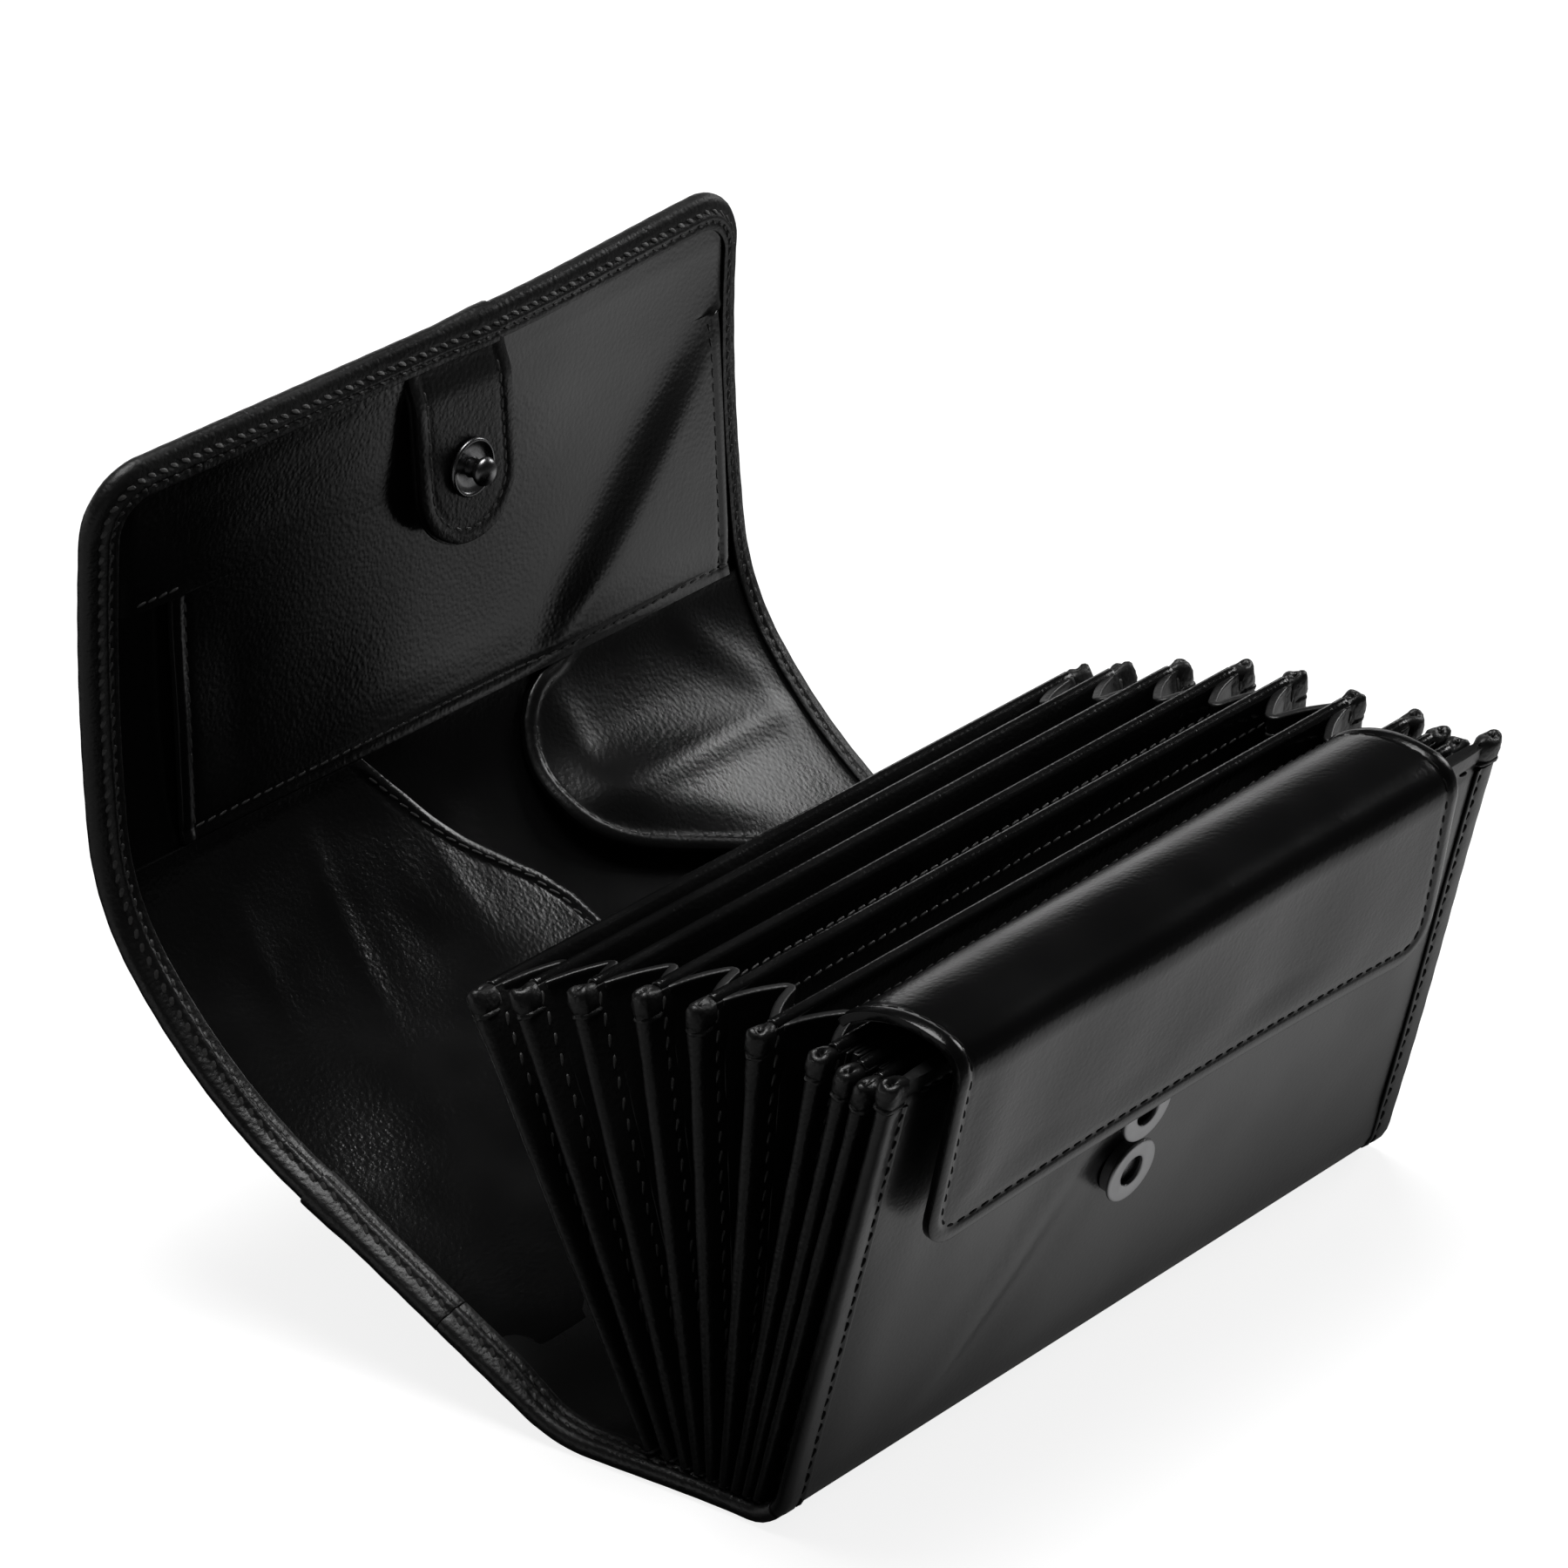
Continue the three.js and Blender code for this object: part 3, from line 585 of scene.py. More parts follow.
def metal_finish(name, colour, rough):
    metal = Finish(name)
    worn = metal.noise(420, 3)
    metal.colours(worn, tuple(0.75 * c for c in colour), colour)
    metal.set(metal.shader.inputs["Roughness"],
              metal.spread(worn, 0.3, 0.7, rough - 0.06, rough + 0.08))
    metal.bump(metal.noise(1500, 2), 0.00001)
    return metal.finish(Metallic=1.0)


snap_metal = metal_finish("blackened stud metal", (0.22, 0.22, 0.223), 0.26)
socket_metal = metal_finish("worn socket metal", (0.34, 0.34, 0.345), 0.42)
spring_metal = metal_finish("spring steel", (0.4, 0.4, 0.4), 0.28)


def sew(name, paths, height, lay, body, slot, finish=thread, **look):
    """A row of stitches along flat paths, laid like the leather that it holds."""
    settle(reshape(stitch_row(name, paths, height, **look), lay), finish, body)


# ---- folds of the cover, each given as two bodies and two points
def line_point(distance, height=0):
    y, z = cover_line.above(distance, height)
    return 0, y * MM, z * MM


fold_bend = ("front_section", "cover_back", line_point(fold_start - 9), line_point(fold_end + 9))
crown_bend = ("cover_back", "cover_flap", line_point(on_back(122)), line_point(on_back(153)))
cover_seam = on_back(31)


def on_cover(x, s, height):
    """Lays flat leather on the cover: height 0 is the middle of the cover's thickness. The front
    panel is a little narrower, and the flap's far end leans left and curls back at its right."""
    if x < 0:
        narrow = mix(0.967, 1, smooth(s, base_start, fold_end))
    else:
        narrow = mix(0.972, 1, smooth(s, 5, 80))
    past = max(0, s - on_back(150)) / 71.5
    curl = 4.5 * smooth(s, on_back(115), on_back(225)) * smooth(x, 10, 100)
    y, z = cover_line.above(s, height - curl)
    return x * narrow - 4 * past * past, y, z


def ripple(x, s, height):
    """The soft waves of leather that has been handled."""
    wave = (sin(x / 13.1 + s / 37) + 0.7 * sin(x / 7.3 - s / 21 + 1.3) * cos(s / 17 + 0.4)
            + 0.8 * sin(s / 19 - x / 45 + 2.1))
    return height * wave / 2.5


def crease(x, s, start, end, width, height, far_width=None):
    """A soft fold in the leather from one flat place to another. far_width is its right flank's."""
    along = Vector((end[0] - start[0], end[1] - start[1]))
    gone = Vector((x - start[0], s - start[1]))
    share = gone.dot(along) / along.length_squared
    if not 0 < share < 1:
        return 0.0
    off = (gone.x * along.y - gone.y * along.x) / along.length
    flank = far_width if far_width and (off > 0) == (along.y > 0) else width
    return height * sin(pi * share) * bell(off, flank)


def creases(x, s, *folds):
    return sum(crease(x, s, *fold) for fold in folds)


def split_at_seam(piece, name_low, name_high):
    """Cuts a piece of the cover across at the seam, into a lower and an upper part."""
    high = add_object(name_high, piece.data.copy())
    for part in (piece, high):
        edit(part, lambda: bpy.ops.mesh.bisect(
            plane_co=(0, cover_seam, 0), plane_no=(0, 1, 0), use_fill=True,
            clear_outer=part is piece, clear_inner=part is high))
    piece.name = piece.data.name = name_low
    high.name = high.data.name = name_high
    return piece, high


# ---- cover
sheet_half = 91.4
sheet_end = flap_end - 1.8
sheet_corner = 12
edge_half = 91.7
edge_end = flap_end - 1.5
edge_corner = 12.2
panel_seam = 4.2
panel_creases = (
    ((-72, 100), (-14, 40), 5, 1.2), ((-58, 100), (-4, 46), 6, -1.0),
    ((10, 96), (44, 50), 9, 0.6), ((-84, 4), (-80, 60), 5, -0.5))


def cover_surface(x, s, h):
    """Shapes the flat cover: thin beside the front panel's bindings, gathered on the panel's
    outer face, and rippled on the inner face of the back and flap. h is 0 at its middle."""
    in_side, on_panel = sheet_half - abs(x), s < front_slope
    if on_panel:
        h *= mix(0.7, 1, max(smooth(in_side, 3, 9), smooth(s, front_slope - 12, front_slope)))
    if h < -0.5 and on_panel:
        full = smooth(s, 3, 20) * smooth(front_slope - s, 0, 12) * smooth(in_side, 2, 14)
        h -= full * (0.5 + ripple(x, s, 0.9) + creases(x, s, *panel_creases))
        h += 0.35 * bell(s - panel_seam, 0.6)
    elif h > 0.5 and s > fold_start:
        h += ripple(x, s, 0.4) * smooth(in_side, 6, 16)
    return x, s, h


def make_cover():
    rows = fine_ends(0, sheet_end - sheet_corner, 2.4, last=False)[:-1]
    rows += corner_marks(sheet_end, sheet_corner)
    columns = fine_ends(-sheet_half, sheet_half, 3.2)
    whole = cut_sheet("cover", rows, columns, round_sides(sheet_half, sheet_end, sheet_corner),
                      thickness=cover_thickness, rim=0.7)
    reshape(whole, lambda x, s, h: cover_surface(x, s, h - inner_face))
    front, back = split_at_seam(whole, "cover_front_and_base", "cover_back_and_flap")
    settle(reshape(front, on_cover), panel_hide, fold_bend, ["cover_front"])
    settle(reshape(back, on_cover), glazed, crown_bend,
           ["cover_back", "cover_flap"])
    seam = [(x, panel_seam) for x in marks(-84, 84, 4)]
    sew("front_panel_stitches", [seam], 0.2 - inner_face, on_cover, "front_section",
        "cover_leather", matt_thread, wide=0.4, high=0.36)


def edge_strip(name, path, body, inner_leg, outer_leg, laps=(), rows=(0.9, 2.9),
               slot="cover_leather", finish=bound, core=1.25, wall=0.65):
    """A strip of leather folded round the cover's edge and sewn through. Its inner leg rises over
    the pockets that it holds down. laps are the places where one end lies over the other."""
    seam = Seam(path)
    roll = pi * core
    width = inner_leg + roll + outer_leg
    across = {0, 0.35, 0.8, inner_leg, inner_leg + roll, width - 0.8, width - 0.35, width}
    across |= {inner_leg + roll * i / 8 for i in range(1, 8)}
    for place in rows:
        for step in (-0.8, -0.4, -0.15, 0.15, 0.4, 0.8):
            across |= {inner_leg - place + step, inner_leg + roll + place + step}
    columns = sorted(c for c in across if 0 <= c <= width)
    columns = [c for i, c in enumerate(columns) if i == 0 or c - columns[i - 1] > 0.12]
    lap_ends = [lap + step for lap in laps for step in (-0.12, 0.12)]
    stations = sorted({*seam.gone, *[g for g in lap_ends if 0 < g < seam.length]})
    strip = cut_sheet(name, stations, columns, thickness=wall, rim=0.22)
    section = Line((inner_leg, core), 180, [(inner_leg, 0), (roll, 180), (outer_leg, 0)])

    def lay(u, g, h):
        x, s, dx, ds = seam.at(g)
        from_roll = abs(u - inner_leg - roll / 2) - roll / 2
        pull = sum(bell(from_roll - place, 0.5) for place in rows)
        top = h > wall / 2
        thick = sum(0.5 * smooth(g, lap - 16, lap - 2) * (g <= lap) for lap in laps)
        full = h + thick + 0.1 * sin(g * 0.9 + u) * (0.3 + 0.7 * pull) * top
        n, k = section.above(u, -(full - 0.3 * pull * top))
        if k > 0:
            k += 1.35 * smooth(n, -0.6, 2.2) * smooth(s, on_back(2), on_back(18))
        # Flush with the cover's outer face round the base
        lowest = mix(-1.19, -6, smooth(s, fold_end - 4, fold_end + 24)
                     + smooth(s, base_start - 5, front_slope - 8))
        return on_cover(x + ds * n, s - dx * n, max(k, lowest))
    reshape(strip, lay)
    across = [inner_leg - place for place in rows if place < inner_leg]
    across += [inner_leg + roll + place for place in rows if place < outer_leg]
    lines = [[(u, g) for g in marks(1, seam.length - 1, 3)] for u in across]
    settle(strip, finish, body)
    sew(f"{name}_stitches", lines, wall - sunk, lay, body, slot,
        thread if finish is bound else matt_thread, length=1.9, pitch=2.9, wide=0.4, high=0.34,
        slant=16)


def make_cover_edges():
    rim = round_path(edge_half, cover_seam, edge_end, edge_corner, 1.8, 2.2, 8)
    # The strip's two ends meet on the flap's end, where one laps over the other
    to_join = (edge_end - edge_corner - cover_seam) + edge_corner * pi / 2
    to_join += 15 + edge_half - edge_corner
    edge_strip("edge_binding_cover", rim, crown_bend, 4.7, 4.7, (on_back(67) - cover_seam, to_join))
    for name, side in wallet_sides:
        base_rim = [(side * edge_half, s) for s in marks(front_slope + 4, cover_seam, 1.6)]
        edge_strip(f"edge_binding_base_{name}", base_rim[::-side], fold_bend, 4.7, 3)
        front_rim = [(side * edge_half, s) for s in marks(5, front_slope + 4.5, 1.6)]
        edge_strip(f"front_binding_{name}", front_rim[::-side], "front_section", 7, 4.6,
                   rows=(3.3,), slot="binding_leather", finish=panel_hide, core=1, wall=0.6)
        cap = make_thimble(f"front_cap_{name}", side, 1.3 * side,
                           lambda x, q, z: (x, *cover_line.above(4.6 - z, q)), 0, 89.3)
        settle(cap, bound, "front_section")


make_cover()
make_cover_edges()


# ---- dividers, bindings and gussets
def divider_point(number, offset, height):
    """Place on divider number: offset to the rear of its middle, height up from its foot."""
    (y, z), tilt = divider_feet[number - 1], radians(divider_tilts[number - 1])
    return (y + height * sin(tilt) + offset * cos(tilt),
            z + height * cos(tilt) - offset * sin(tilt))


def on_divider(number):
    def place(x, offset, height):
        return x, *divider_point(number, offset, height)
    return place


def wall_body(number):
    return f"compartment_wall_{number}" if number <= 6 else "front_section"


cloth_half = 88


def fold_marks(reach, roll, steps, near):
    """Marks across a strip with two legs and a roll between them, near its two edges and round
    the roll."""
    return sorted({*near, *[reach + roll * i / steps for i in range(steps + 1)],
                   *[2 * reach + roll - mark for mark in near]})


def make_divider(number):
    height, place, body = divider_heights[number - 1], on_divider(number), wall_body(number)
    sheet = cut_sheet(f"divider_cloth_{number}", marks(0, height - 1, 6),
                      marks(-cloth_half, cloth_half, 6), rim=0)
    reshape(sheet, lambda x, s, h: place(x, h - 0.6, s))
    settle(sheet, lining, body, [f"divider_{number}"])
    # Leather turned over the top edge
    reach, core, wall, seam = 9.5, 0.65, 0.75, 4.6
    fold = Line((height - 0.7 - reach, -core), 0, [(reach, 0), (pi * core, 180), (reach, 0)])
    rows = fold_marks(reach, pi * core, 6, (0, 0.6, 2, 4, 5, 6, 7.5))
    hem = cut_sheet(f"divider_hem_{number}", rows, marks(-84, 84, 4), thickness=wall, rim=0.25)

    def turned(x, u, h):
        z, q = fold.above(u, -h)
        return place(x, q, z)
    seams = [[(-82, u), (82, u)] for u in (seam, fold.length - seam)]
    settle(reshape(hem, turned), inner, body)
    sew(f"divider_stitches_{number}", seams, wall, turned, body, "inner_leather",
        length=2.2, pitch=3)


def make_binding(number, name, side):
    """The strip of leather folded round a divider's side edge, with its cap and stitches."""
    height, place, body = divider_heights[number - 1], on_divider(number), wall_body(number)
    reach, core, wall, foot, cap, seam = 7, 1.2, 0.85, 0.6, 5.2, 3.3
    roll = pi * core
    width = 2 * reach + roll
    fold = Line((panel_half - core - wall - reach, -core), 0, [(reach, 0), (roll, 180), (reach, 0)])
    across = fold_marks(reach, roll, 8, (0, 0.6, 1.7, 2.6, 3, seam, 3.6, 4, 5.4))

    def lay(u, z, h):
        x, q = fold.above(u, -h)
        full = mix(0.5, 0.66, smooth(z, 0, 70)) + 0.14 * smooth(z, height - cap - 9, height - cap)
        full += 0.03 * sin(z * 0.31 + number) + 0.02 * sin(z * 0.83 + 2 * number)
        stitched = 0.2 * bell(min(u, fold.length - u) - seam, 0.5) * (h > wall / 2)
        q = (q - copysign(stitched, q)) * full
        x += (full - 1) * 1.2 * smooth(x, 84, 90)
        return place(side * x, side * q, z)
    strip = cut_sheet(f"binding_{name}", marks(foot, height - 0.5, 2.5), across, thickness=wall,
                      rim=0.28)
    thimble = make_thimble(f"cap_{name}", side, 1.7 * number + side, place, height - cap, 88)
    binding = join(f"binding_{name}", [reshape(strip, lay), thimble])
    rows = [[(seam, 3), (seam, height - 1)], [(width - seam, height - 1), (width - seam, 3)]]
    settle(binding, bound, body, [f"binding_{name}"])
    sew(f"binding_stitches_{name}", rows, wall - sunk, lay, body, "binding_leather",
        pitch=3.9, wide=0.42, high=0.4, slant=-14)


gusset_mouth = 82.4
gusset_leg = 12.2
gusset_wall = 0.9
gusset_foot = 7
gusset_hold = 0.95  # from a divider's middle to where the gusset is sewn to it


def gusset_line(spread):
    """The folded gusset seen from above, between two walls that stand a spread apart."""
    bend = min(0.95, 0.48 * spread)
    angle = solve(lambda a: 2 * (gusset_leg * sin(radians(a)) + bend * cos(radians(a))),
                  spread, 0, 75)
    arc = bend * radians(180 - 2 * angle)
    return Line((gusset_mouth, 0), 180 - angle,
                [(gusset_leg, 0), (arc, 2 * angle - 180), (gusset_leg, 0)])


def tight_line(spread):
    """A gusset folded twice, so that two hairpins lie side by side between two close walls."""
    hairpin = 0.12 * pi * spread
    return Line((gusset_mouth, 0.14 * spread), 180, [
        (13, 0), (hairpin, -180), (11.5, 0), (hairpin, 180), (11.5, 0), (hairpin, -180), (12.4, 0)])


def make_gusset(name, side, rear, front, top, body, nodes=(), tight=False):
    """A sheet folded inwards between the points that rear(z) and front(z) give."""
    length = 52 if tight else 2 * gusset_leg + 3
    columns = marks(0, length, 0.65) if tight else sorted({
        *marks(0, gusset_leg - 1, 2.4), *marks(gusset_leg - 1, gusset_leg + 4, 0.5),
        *marks(gusset_leg + 4, length, 2.4)})
    rows = sorted({*marks(gusset_foot, top, 4), top - 1.6, top - 1.1, top - 0.5})
    sheet = cut_sheet(f"gusset_{name}", rows, columns, thickness=gusset_wall, rim=0.3)
    rings = {}

    def ring(z):
        """The gusset's folds at a height: where they begin, which way they go and their line."""
        a, b = Vector(rear(z)), Vector(front(z))
        spread = (b - a).length
        layer = min(1, 0.2 * spread / gusset_wall) if tight else 1
        return a, (b - a).normalized(), (tight_line if tight else gusset_line)(spread), layer

    def lay(u, z, h):
        key = round(z, 3)
        if key not in rings:
            rings[key] = ring(z)
        a, across, line, layer = rings[key]
        where = (u if side > 0 else length - u) / length * line.length
        bow = 0 if tight else 0.7 * sin(2 * pi * where / line.length) * smooth(z, gusset_foot, top)
        full = layer if tight else 1 + 0.9 * smooth(z, top - 2, top - 0.8)
        x, w = line.above(where, side * (h - gusset_wall / 2) * full + bow)
        flat = a + across * w
        return side * x, flat.x, flat.y
    settle(reshape(sheet, lay), gusset_hide, body, nodes)
    if tight:
        return
    seam = [(0.8, top - 4), (length - 0.8, top - 4)]
    sew(f"gusset_stitches_{name}", [seam], gusset_wall if side > 0 else 0, lay, body,
        "gusset_leather", length=2, pitch=2.9)


def compartment_bend(number):
    """The bend for the gusset in front of a moving wall, given as two bodies and two points."""
    travel = compartment_travel + [0]
    low = solve(lambda share: smooth(share, 0, 1), travel[number] / travel[number - 1], 0.0, 1.0)
    rear, front = (Vector((0, *divider_point(n, 0, 60))) for n in (number, number + 1))
    start = rear - (rear - front) / (1 - low)
    return "front_section", f"compartment_wall_{number}", tuple(start * MM), tuple(rear * MM)


def front_panel_point(height, offset=0.0):
    """Place on the inner side of the front panel at a height along its slope."""
    return cover_line.above(front_slope - height, inner_face + offset)


def make_compartments():
    for number in range(1, 10):
        make_divider(number)
        for name, side in wallet_sides:
            make_binding(number, f"{name}_{number}", side)
    for number in range(1, 9):
        top = min(divider_heights[number - 1], divider_heights[number]) - 0.4
        for name, side in wallet_sides:
            make_gusset(f"{name}_{number}", side, lambda z: divider_point(number, -gusset_hold, z),
                        lambda z: divider_point(number + 1, gusset_hold, z), top,
                        compartment_bend(number) if number <= 6 else "front_section",
                        [f"gusset_{name}_{number}"], tight=number > 6)
    for name, side in wallet_sides:
        make_gusset(f"{name}_front", side, lambda z: divider_point(9, -gusset_hold, z),
                    lambda z: front_panel_point(z - 4, 0.9), divider_heights[8] - 2,
                    "front_section", tight=True)


make_compartments()


# ---- coin flap
def coin_flap_line():
    """From the root behind divider 7 over the crown and down the front panel, clear of it."""
    root = divider_point(7, 1.7, divider_heights[6] + 0.3)
    outward = Vector((-cos(radians(front_lean)), -sin(radians(front_lean))))
    panel_face = Vector(front_top) + outward * inner_face

    def shift(radius, start, end):
        return Vector((radius * (sin(radians(end)) - sin(radians(start))),
                       -radius * (cos(radians(end)) - cos(radians(start)))))
    bare = Vector(root) + shift(5, 125, 152) + shift(4.5, 200, 284) - panel_face
    crown = (3.7 - bare.dot(outward)) / shift(1, 152, 200).dot(outward)
    return Line(root, 125, [(5 * radians(27), 27), (crown * radians(48), 48),
                            (4.5 * radians(84), 84), (38.6, 0)])


coin_line = coin_flap_line()
coin_half = 76


def on_coin_flap(height):
    """Lays flat leather on the coin flap, a height above the lining's inner side. The lower edge is
    drawn up a little over the sockets that push it out. The flap is sewn on a little to the left,
    and is narrower at its root than at its lower edge."""
    def place(x, s, h):
        down = smooth(s, 14, coin_line.length)
        askew = -x * mix(0.963, 0.987, down) - mix(5.7, 1.7, down)
        loose = smooth(s, coin_line.length - 36, coin_line.length) * (1 - (x / coin_half) ** 2)
        return askew, *coin_line.above(s - 3.8 * loose, -h - height - 0.9 * loose)
    return place


def make_coin_flap():
    half, end, radius, seam = coin_half, coin_line.length, 9, 3.4
    rows = fine_ends(0, end - radius, 1.2, last=False)[:-1] + corner_marks(end, radius, 8)
    rows = sorted({*rows, *[end - seam + step for step in (-1.2, -0.8, -0.4, 0, 0.4, 0.8)]})
    inset = rounded_inset(half, end, radius)
    outside = cut_sheet("coin_flap", rows, fine_ends(-half, half, 3),
                        round_sides(half, end, radius), 1.5, rim=0.65)
    swell(outside, turned_rim(inset, sink=0.36))
    swell(outside, lambda x, s: (ripple(x * 1.2, s * 0.8, 0.7) * smooth(inset(x, s), 5, 14)
                                 * smooth(s, 14, 30)))
    rows = marks(1, end - radius, 2.5)[:-1] + corner_marks(end - 1, radius - 1, 6)
    cloth = cut_sheet("coin_flap_lining", rows, marks(1 - half, half - 1, 4),
                      round_sides(half - 1, end - 1, radius - 1), 0.5, rim=0)
    path = round_path(half - seam, 1, end - seam, radius - seam, 2, 2, 15)
    settle(reshape(outside, on_coin_flap(0.7)), glazed, "coin_flap", ["coin_flap"])
    settle(reshape(cloth, on_coin_flap(0.1)), lining, "coin_flap",
           ["coin_flap_lining"])
    sew("coin_flap_stitches", [path], 2.0, on_coin_flap(0), "coin_flap", "cover_leather",
        matt_thread, length=2.3, pitch=3.2, wide=0.42, high=0.34)


make_coin_flap()


# ---- pockets of the cover
pocket_wall = 1.1
pocket_floor = inner_face + 0.25
pocket_half = 88.3
seam_height = 138.2


def polyline_inset(corners):
    """Distance of a flat place from the nearest run of a free edge."""
    def inset(x, s):
        best = 1e9
        for (ax, a), (bx, b) in zip(corners, corners[1:]):
            dx, ds = bx - ax, b - a
            share = clamp(((x - ax) * dx + (s - a) * ds) / (dx * dx + ds * ds))
            best = min(best, hypot(x - ax - share * dx, s - a - share * ds))
        return best
    return inset


def between(points, value):
    """The x of an edge that is drawn through (x, distance) points, at a distance."""
    points = sorted(points, key=lambda p: p[1])
    for (ax, a), (bx, b) in zip(points, points[1:]):
        if value <= b or (bx, b) == points[-1]:
            return mix(ax, bx, clamp((value - a) / (b - a)))


def on_pocket_place(x, distance, height):
    return on_cover(x, on_back(distance), height)


def lay_pocket(node, rows, columns, sides, shape, seams, finish):
    """A pocket leather on the cover's inner face. Flat places are (x, distance up the back)."""
    sheet = cut_sheet(f"{node}_leather", rows, columns, sides, thickness=pocket_wall)
    reshape(sheet, lambda x, d, h: (x, d, h + pocket_floor + shape(x, d, h > pocket_wall / 2)))
    settle(reshape(sheet, on_pocket_place), finish, crown_bend, [node])
    sew(f"{node}_leather_stitches", seams,
        lambda x, d: pocket_floor + pocket_wall - sunk + shape(x, d, True), on_pocket_place,
        crown_bend, "inner_leather", length=2.3, pitch=3.1)


def make_document_pocket():
    top, half, radius = flap_end - back_start - 4.6, pocket_half, 9
    left_slit = [(-73.2, seam_height + 1), (-73.8, 191)]
    right_slit = [(84.6, seam_height + 1), (84.2, 196)]
    left_rim = turned_rim(polyline_inset(left_slit), 3.6, 0.28, 3.2, 0.3)
    right_rim = turned_rim(polyline_inset(right_slit), 3.4, 0.28, 3, 0.3)
    seam = seam_height + 2.6

    def sides(d):
        draw = radius - sqrt(radius * radius - max(0, d - top + radius) ** 2)
        return (between(left_slit, d) if d < 190.5 else draw - half,
                between(right_slit, d) if d < 196.5 else half - draw)

    def shape(x, d, upper):
        lift = 0.5 + 0.8 * smooth(d, seam_height, 150) * smooth(215 - d, 0, 20)
        lift += ripple(x, d, 0.45) * smooth(d, seam_height + 2, 155) * smooth(top - d, 4, 20)
        # A long soft fold from the upper right corner down to the seam, steep on its left side
        lift += crease(x, d, (98, 204), (16, 124), 7, 3.0, 26)
        lift += 0.9 * smooth(-x, 56, 73) * sin(pi * clamp((d - seam_height) / 52)) ** 2
        if upper:
            if d < 191:
                lift += left_rim(x, d)
            if d < 197:
                lift += right_rim(x, d)
            lift -= 0.35 * bell(d - seam, 0.7)
        return (lift * smooth(d, seam_height - 3, seam_height + 5) * smooth(88 - abs(x), 0, 4.5)
                * smooth(top - d, 1, 5))
    # Marks close together along the seam and where the two slits end
    rows = sorted({seam_height, 139, 139.8, 140.4, 140.9, 141.6, 142.6, 144,
                   *marks(146, 189.5, 2.4), 190.3, 190.7, *marks(192, 195.9, 1.3), 196.3, 196.7,
                   *marks(198, top, 2.4)})
    seams = [[(x, seam) for x in marks(-70, 84, 4)],
             [(-70.2, d) for d in marks(seam_height + 3, 189, 3)],
             [(81.2, d) for d in marks(seam_height + 3, 195, 3)],
             [(x, 192.4) for x in marks(-83, -72, 3)]]
    lay_pocket("document_pocket", rows, fine_ends(-half, half, 2.6), sides, shape, seams, creased)


def make_left_pocket():
    edge = [(8.8, 15), (8.8, 86), (7.4, 94), (3.5, 101), (-2, 107), (-8, 113.5), (-12.5, 120),
            (-16.5, 127), (-21.5, 134), (-24.5, 138)]
    rim = turned_rim(polyline_inset(edge), 3.2, 0.4, 3, 0.2)
    folds = (((-42, 134), (-52, 82), 2.2, 0.45), ((-65, 127), (-72, 92), 2.4, 0.35),
             ((-16, 121), (-17, 92), 3, 0.35), ((-33, 120), (-30, 84), 5, -0.3))

    def shape(x, d, upper):
        room = (smooth(d, 34, 60) * smooth(138 - d, 0, 22) * smooth(x, -84, -60)
                * smooth(between(edge, d) - x, 0, 30))
        lift = 1.2 * room + ripple(x * 1.2, d, 0.5) * smooth(d, 34, 50) + creases(x, d, *folds)
        sink = (pocket_wall + 0.4) * (1 - smooth(d, 17, 44))
        held = smooth(d, 34, 62) * smooth(139 - d, 0, 4) * smooth(x, -88, -79)
        return (lift + (rim(x, d) if upper else 0)) * held - sink
    rows = sorted({17, *marks(19, 134, 2.2), 135, 136, 137, 137.6, 138})
    seam = [(x - 3, d) for x, d in edge if 36 < d < 138]
    lay_pocket("left_pocket", rows, fine_ends(-pocket_half, 8.8, 2.2, first=False),
               lambda d: (-pocket_half, between(edge, d)), shape, [seam], inner)


def make_right_pocket():
    edge = [(88, 66.5), (51.2, 83), (31.2, 92.2), (25.2, 95.6), (20.4, 99.6), (17, 104),
            (15.2, 108.5), (14.5, 114), (14.7, 119), (16, 124.5), (18.6, 130), (22.4, 134.5),
            (27, 137.4), (31.9, 138.4)]
    near = polyline_inset(edge)
    rim = turned_rim(near, 3.6, 0.7, 3.1, 0.3)
    folds = (((20, 107), (104, 108), 3.5, 0.7), ((30, 137), (26, 112), 4, 0.6),
             ((64, 138), (84, 112), 4, 0.6))

    def shape(x, d, upper):
        # Full and gaping below the ridge that crosses it, pressed in above
        gape = (0.6 + 0.4 * smooth(near(x, d), 0, 12)) * smooth(88 - x, -4, 60)
        lift = 5.5 * gape * (0.35 * smooth(139 - d, 0, 20) + 0.65 * smooth(122 - d, 0, 16))
        lift += ripple(x, d * 1.3, 0.2) + creases(x, d, *folds)
        return (lift + (rim(x, d) if upper else 0)) * smooth(139.4 - d, 0, 3) * smooth(88 - x, 0, 8)
    rows = sorted({67.5, 68.5, *marks(70, 134, 2), 135, 136, 137, 137.8, 138.4})
    path, in_from_edge = Seam(edge), 2.9
    seam = [(x + ds * in_from_edge, d - dx * in_from_edge)
            for x, d, dx, ds in map(path.at, marks(3, path.length - 2, 2.5))]
    lay_pocket("right_pocket", rows, fine_ends(14.5, pocket_half, 2.2, last=False),
               lambda d: (between(edge, d), pocket_half), shape, [seam], soft_polish)


make_document_pocket()
make_left_pocket()
make_right_pocket()


# ---- closing tab, stud and sockets
def on_tab(x, down, height):
    """The tab hangs plumb: down from its root, height out of its face. Its root is sewn in."""
    return x + 0.07 * down, 87.4 - height + 1.5 * (1 - smooth(down, -1, 6)), 152.8 - down


